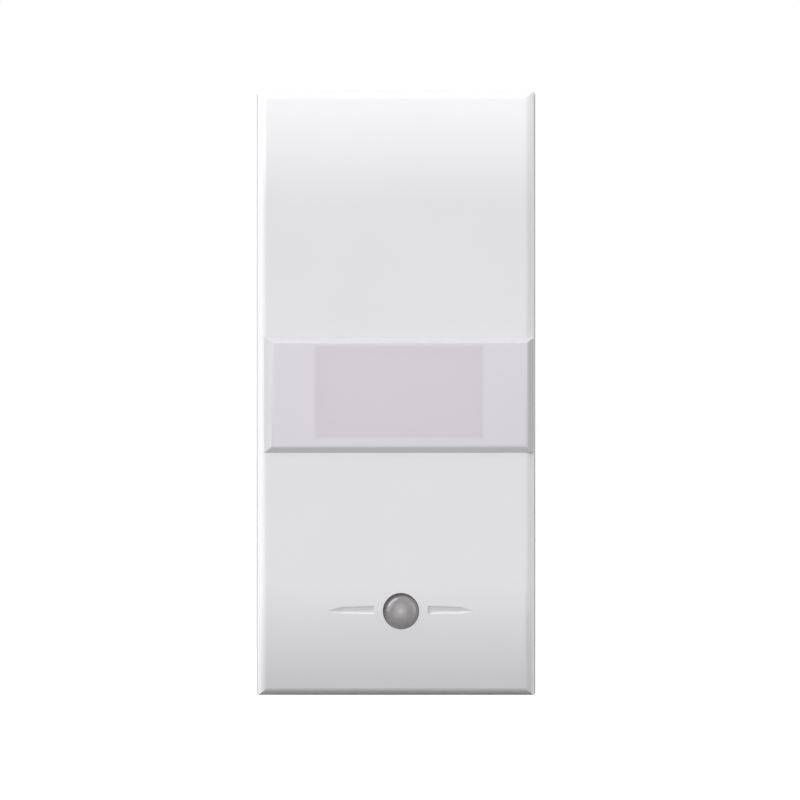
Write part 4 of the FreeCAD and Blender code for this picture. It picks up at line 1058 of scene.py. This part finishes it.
def make_lamp(name, kind, level, place):
    """A lamp at a place in degrees left of the front, and up. A level of 1 lights a facing white to 1."""
    turn, elevation = (math.radians(angle) for angle in place)
    way = Vector((-math.sin(turn) * math.cos(elevation), -math.cos(turn) * math.cos(elevation),
                  math.sin(elevation)))
    along = Vector((0, -1, 0)).cross(way).normalized()
    data = bpy.data.lights.new(name, kind)
    lamp = bpy.data.objects.new(name, data)
    lamp.matrix_world = Matrix((along, way.cross(along), way)).transposed().to_4x4()
    if kind == "AREA":
        data.shape = "RECTANGLE"
        data.size, data.size_y = strip_size(STRIP_HALF_LENGTH), strip_size(STRIP_HALF_BREADTH)
        data.energy = level * (math.pi * STRIP_DISTANCE) ** 2
        lamp.location = way * STRIP_DISTANCE
    else:
        data.angle = math.radians(BROAD_SPREAD)
        data.energy = level * math.pi
    bpy.context.scene.collection.objects.link(lamp)


def seen_directly(tree):
    """1 for the rays that see the backdrop: the camera's, reflected and passed through."""
    path = tree.nodes.new("ShaderNodeLightPath")
    factor = path.outputs[DIRECT_RAYS[0]]
    for name in DIRECT_RAYS[1:]:
        both = tree.nodes.new("ShaderNodeMath")
        both.operation = "MAXIMUM"
        tree.links.new(factor, both.inputs[0])
        tree.links.new(path.outputs[name], both.inputs[1])
        factor = both.outputs[0]
    return factor


def make_world():
    """White to the camera and in reflections, and a calmer light on the surfaces."""
    world = bpy.data.worlds.new("studio")
    world.use_nodes = True
    tree = world.node_tree
    background = tree.nodes["Background"]
    background.inputs["Color"].default_value = (1, 1, 1, 1)
    strength = tree.nodes.new("ShaderNodeMapRange")
    strength.inputs["To Min"].default_value = AMBIENT
    strength.inputs["To Max"].default_value = 1.0
    tree.links.new(seen_directly(tree), strength.inputs["Value"])
    tree.links.new(strength.outputs["Result"], background.inputs["Strength"])
    bpy.context.scene.world = world


def make_floor():
    """A plain pale floor below the module, which gives back little light to its underside."""
    mesh = bpy.data.meshes.new("floor")
    half = FLOOR_SIZE / 2
    level = cad_low.z - FLOOR_GAP * MM
    corners = [(x * half, y * half, level) for x, y in ((-1, -1), (1, -1), (1, 1), (-1, 1))]
    mesh.from_pydata(corners, [], [(0, 1, 2, 3)])
    floor = bpy.data.objects.new("floor", mesh)
    bpy.context.scene.collection.objects.link(floor)
    shader = Shader("floor", (FLOOR_PALE, FLOOR_PALE, FLOOR_PALE, 1), FLOOR_ROUGHNESS)
    cloud = shader.spread(shader.noise(FLOOR_GRAIN), 0.0, 1.0)
    pale = shader.mix(cloud, scaled(shader.colour, 0.98), scaled(shader.colour, 1.02))
    calm = (FLOOR_CALM, FLOOR_CALM, FLOOR_CALM, 1)
    shader.feed(shader.mix(seen_directly(shader.tree), calm, pale), "Base Color")
    shader.set(Specular_IOR_Level=0.1)
    mesh.materials.append(shader.material)


make_lamp("strip", "AREA", STRIP_LEVEL, STRIP_PLACE)
make_lamp("broad_left", "SUN", LEFT_LEVEL, LEFT_PLACE)
make_lamp("broad_right", "SUN", RIGHT_LEVEL, RIGHT_PLACE)
make_world()
make_floor()
bpy.context.scene.view_settings.view_transform = "Standard"
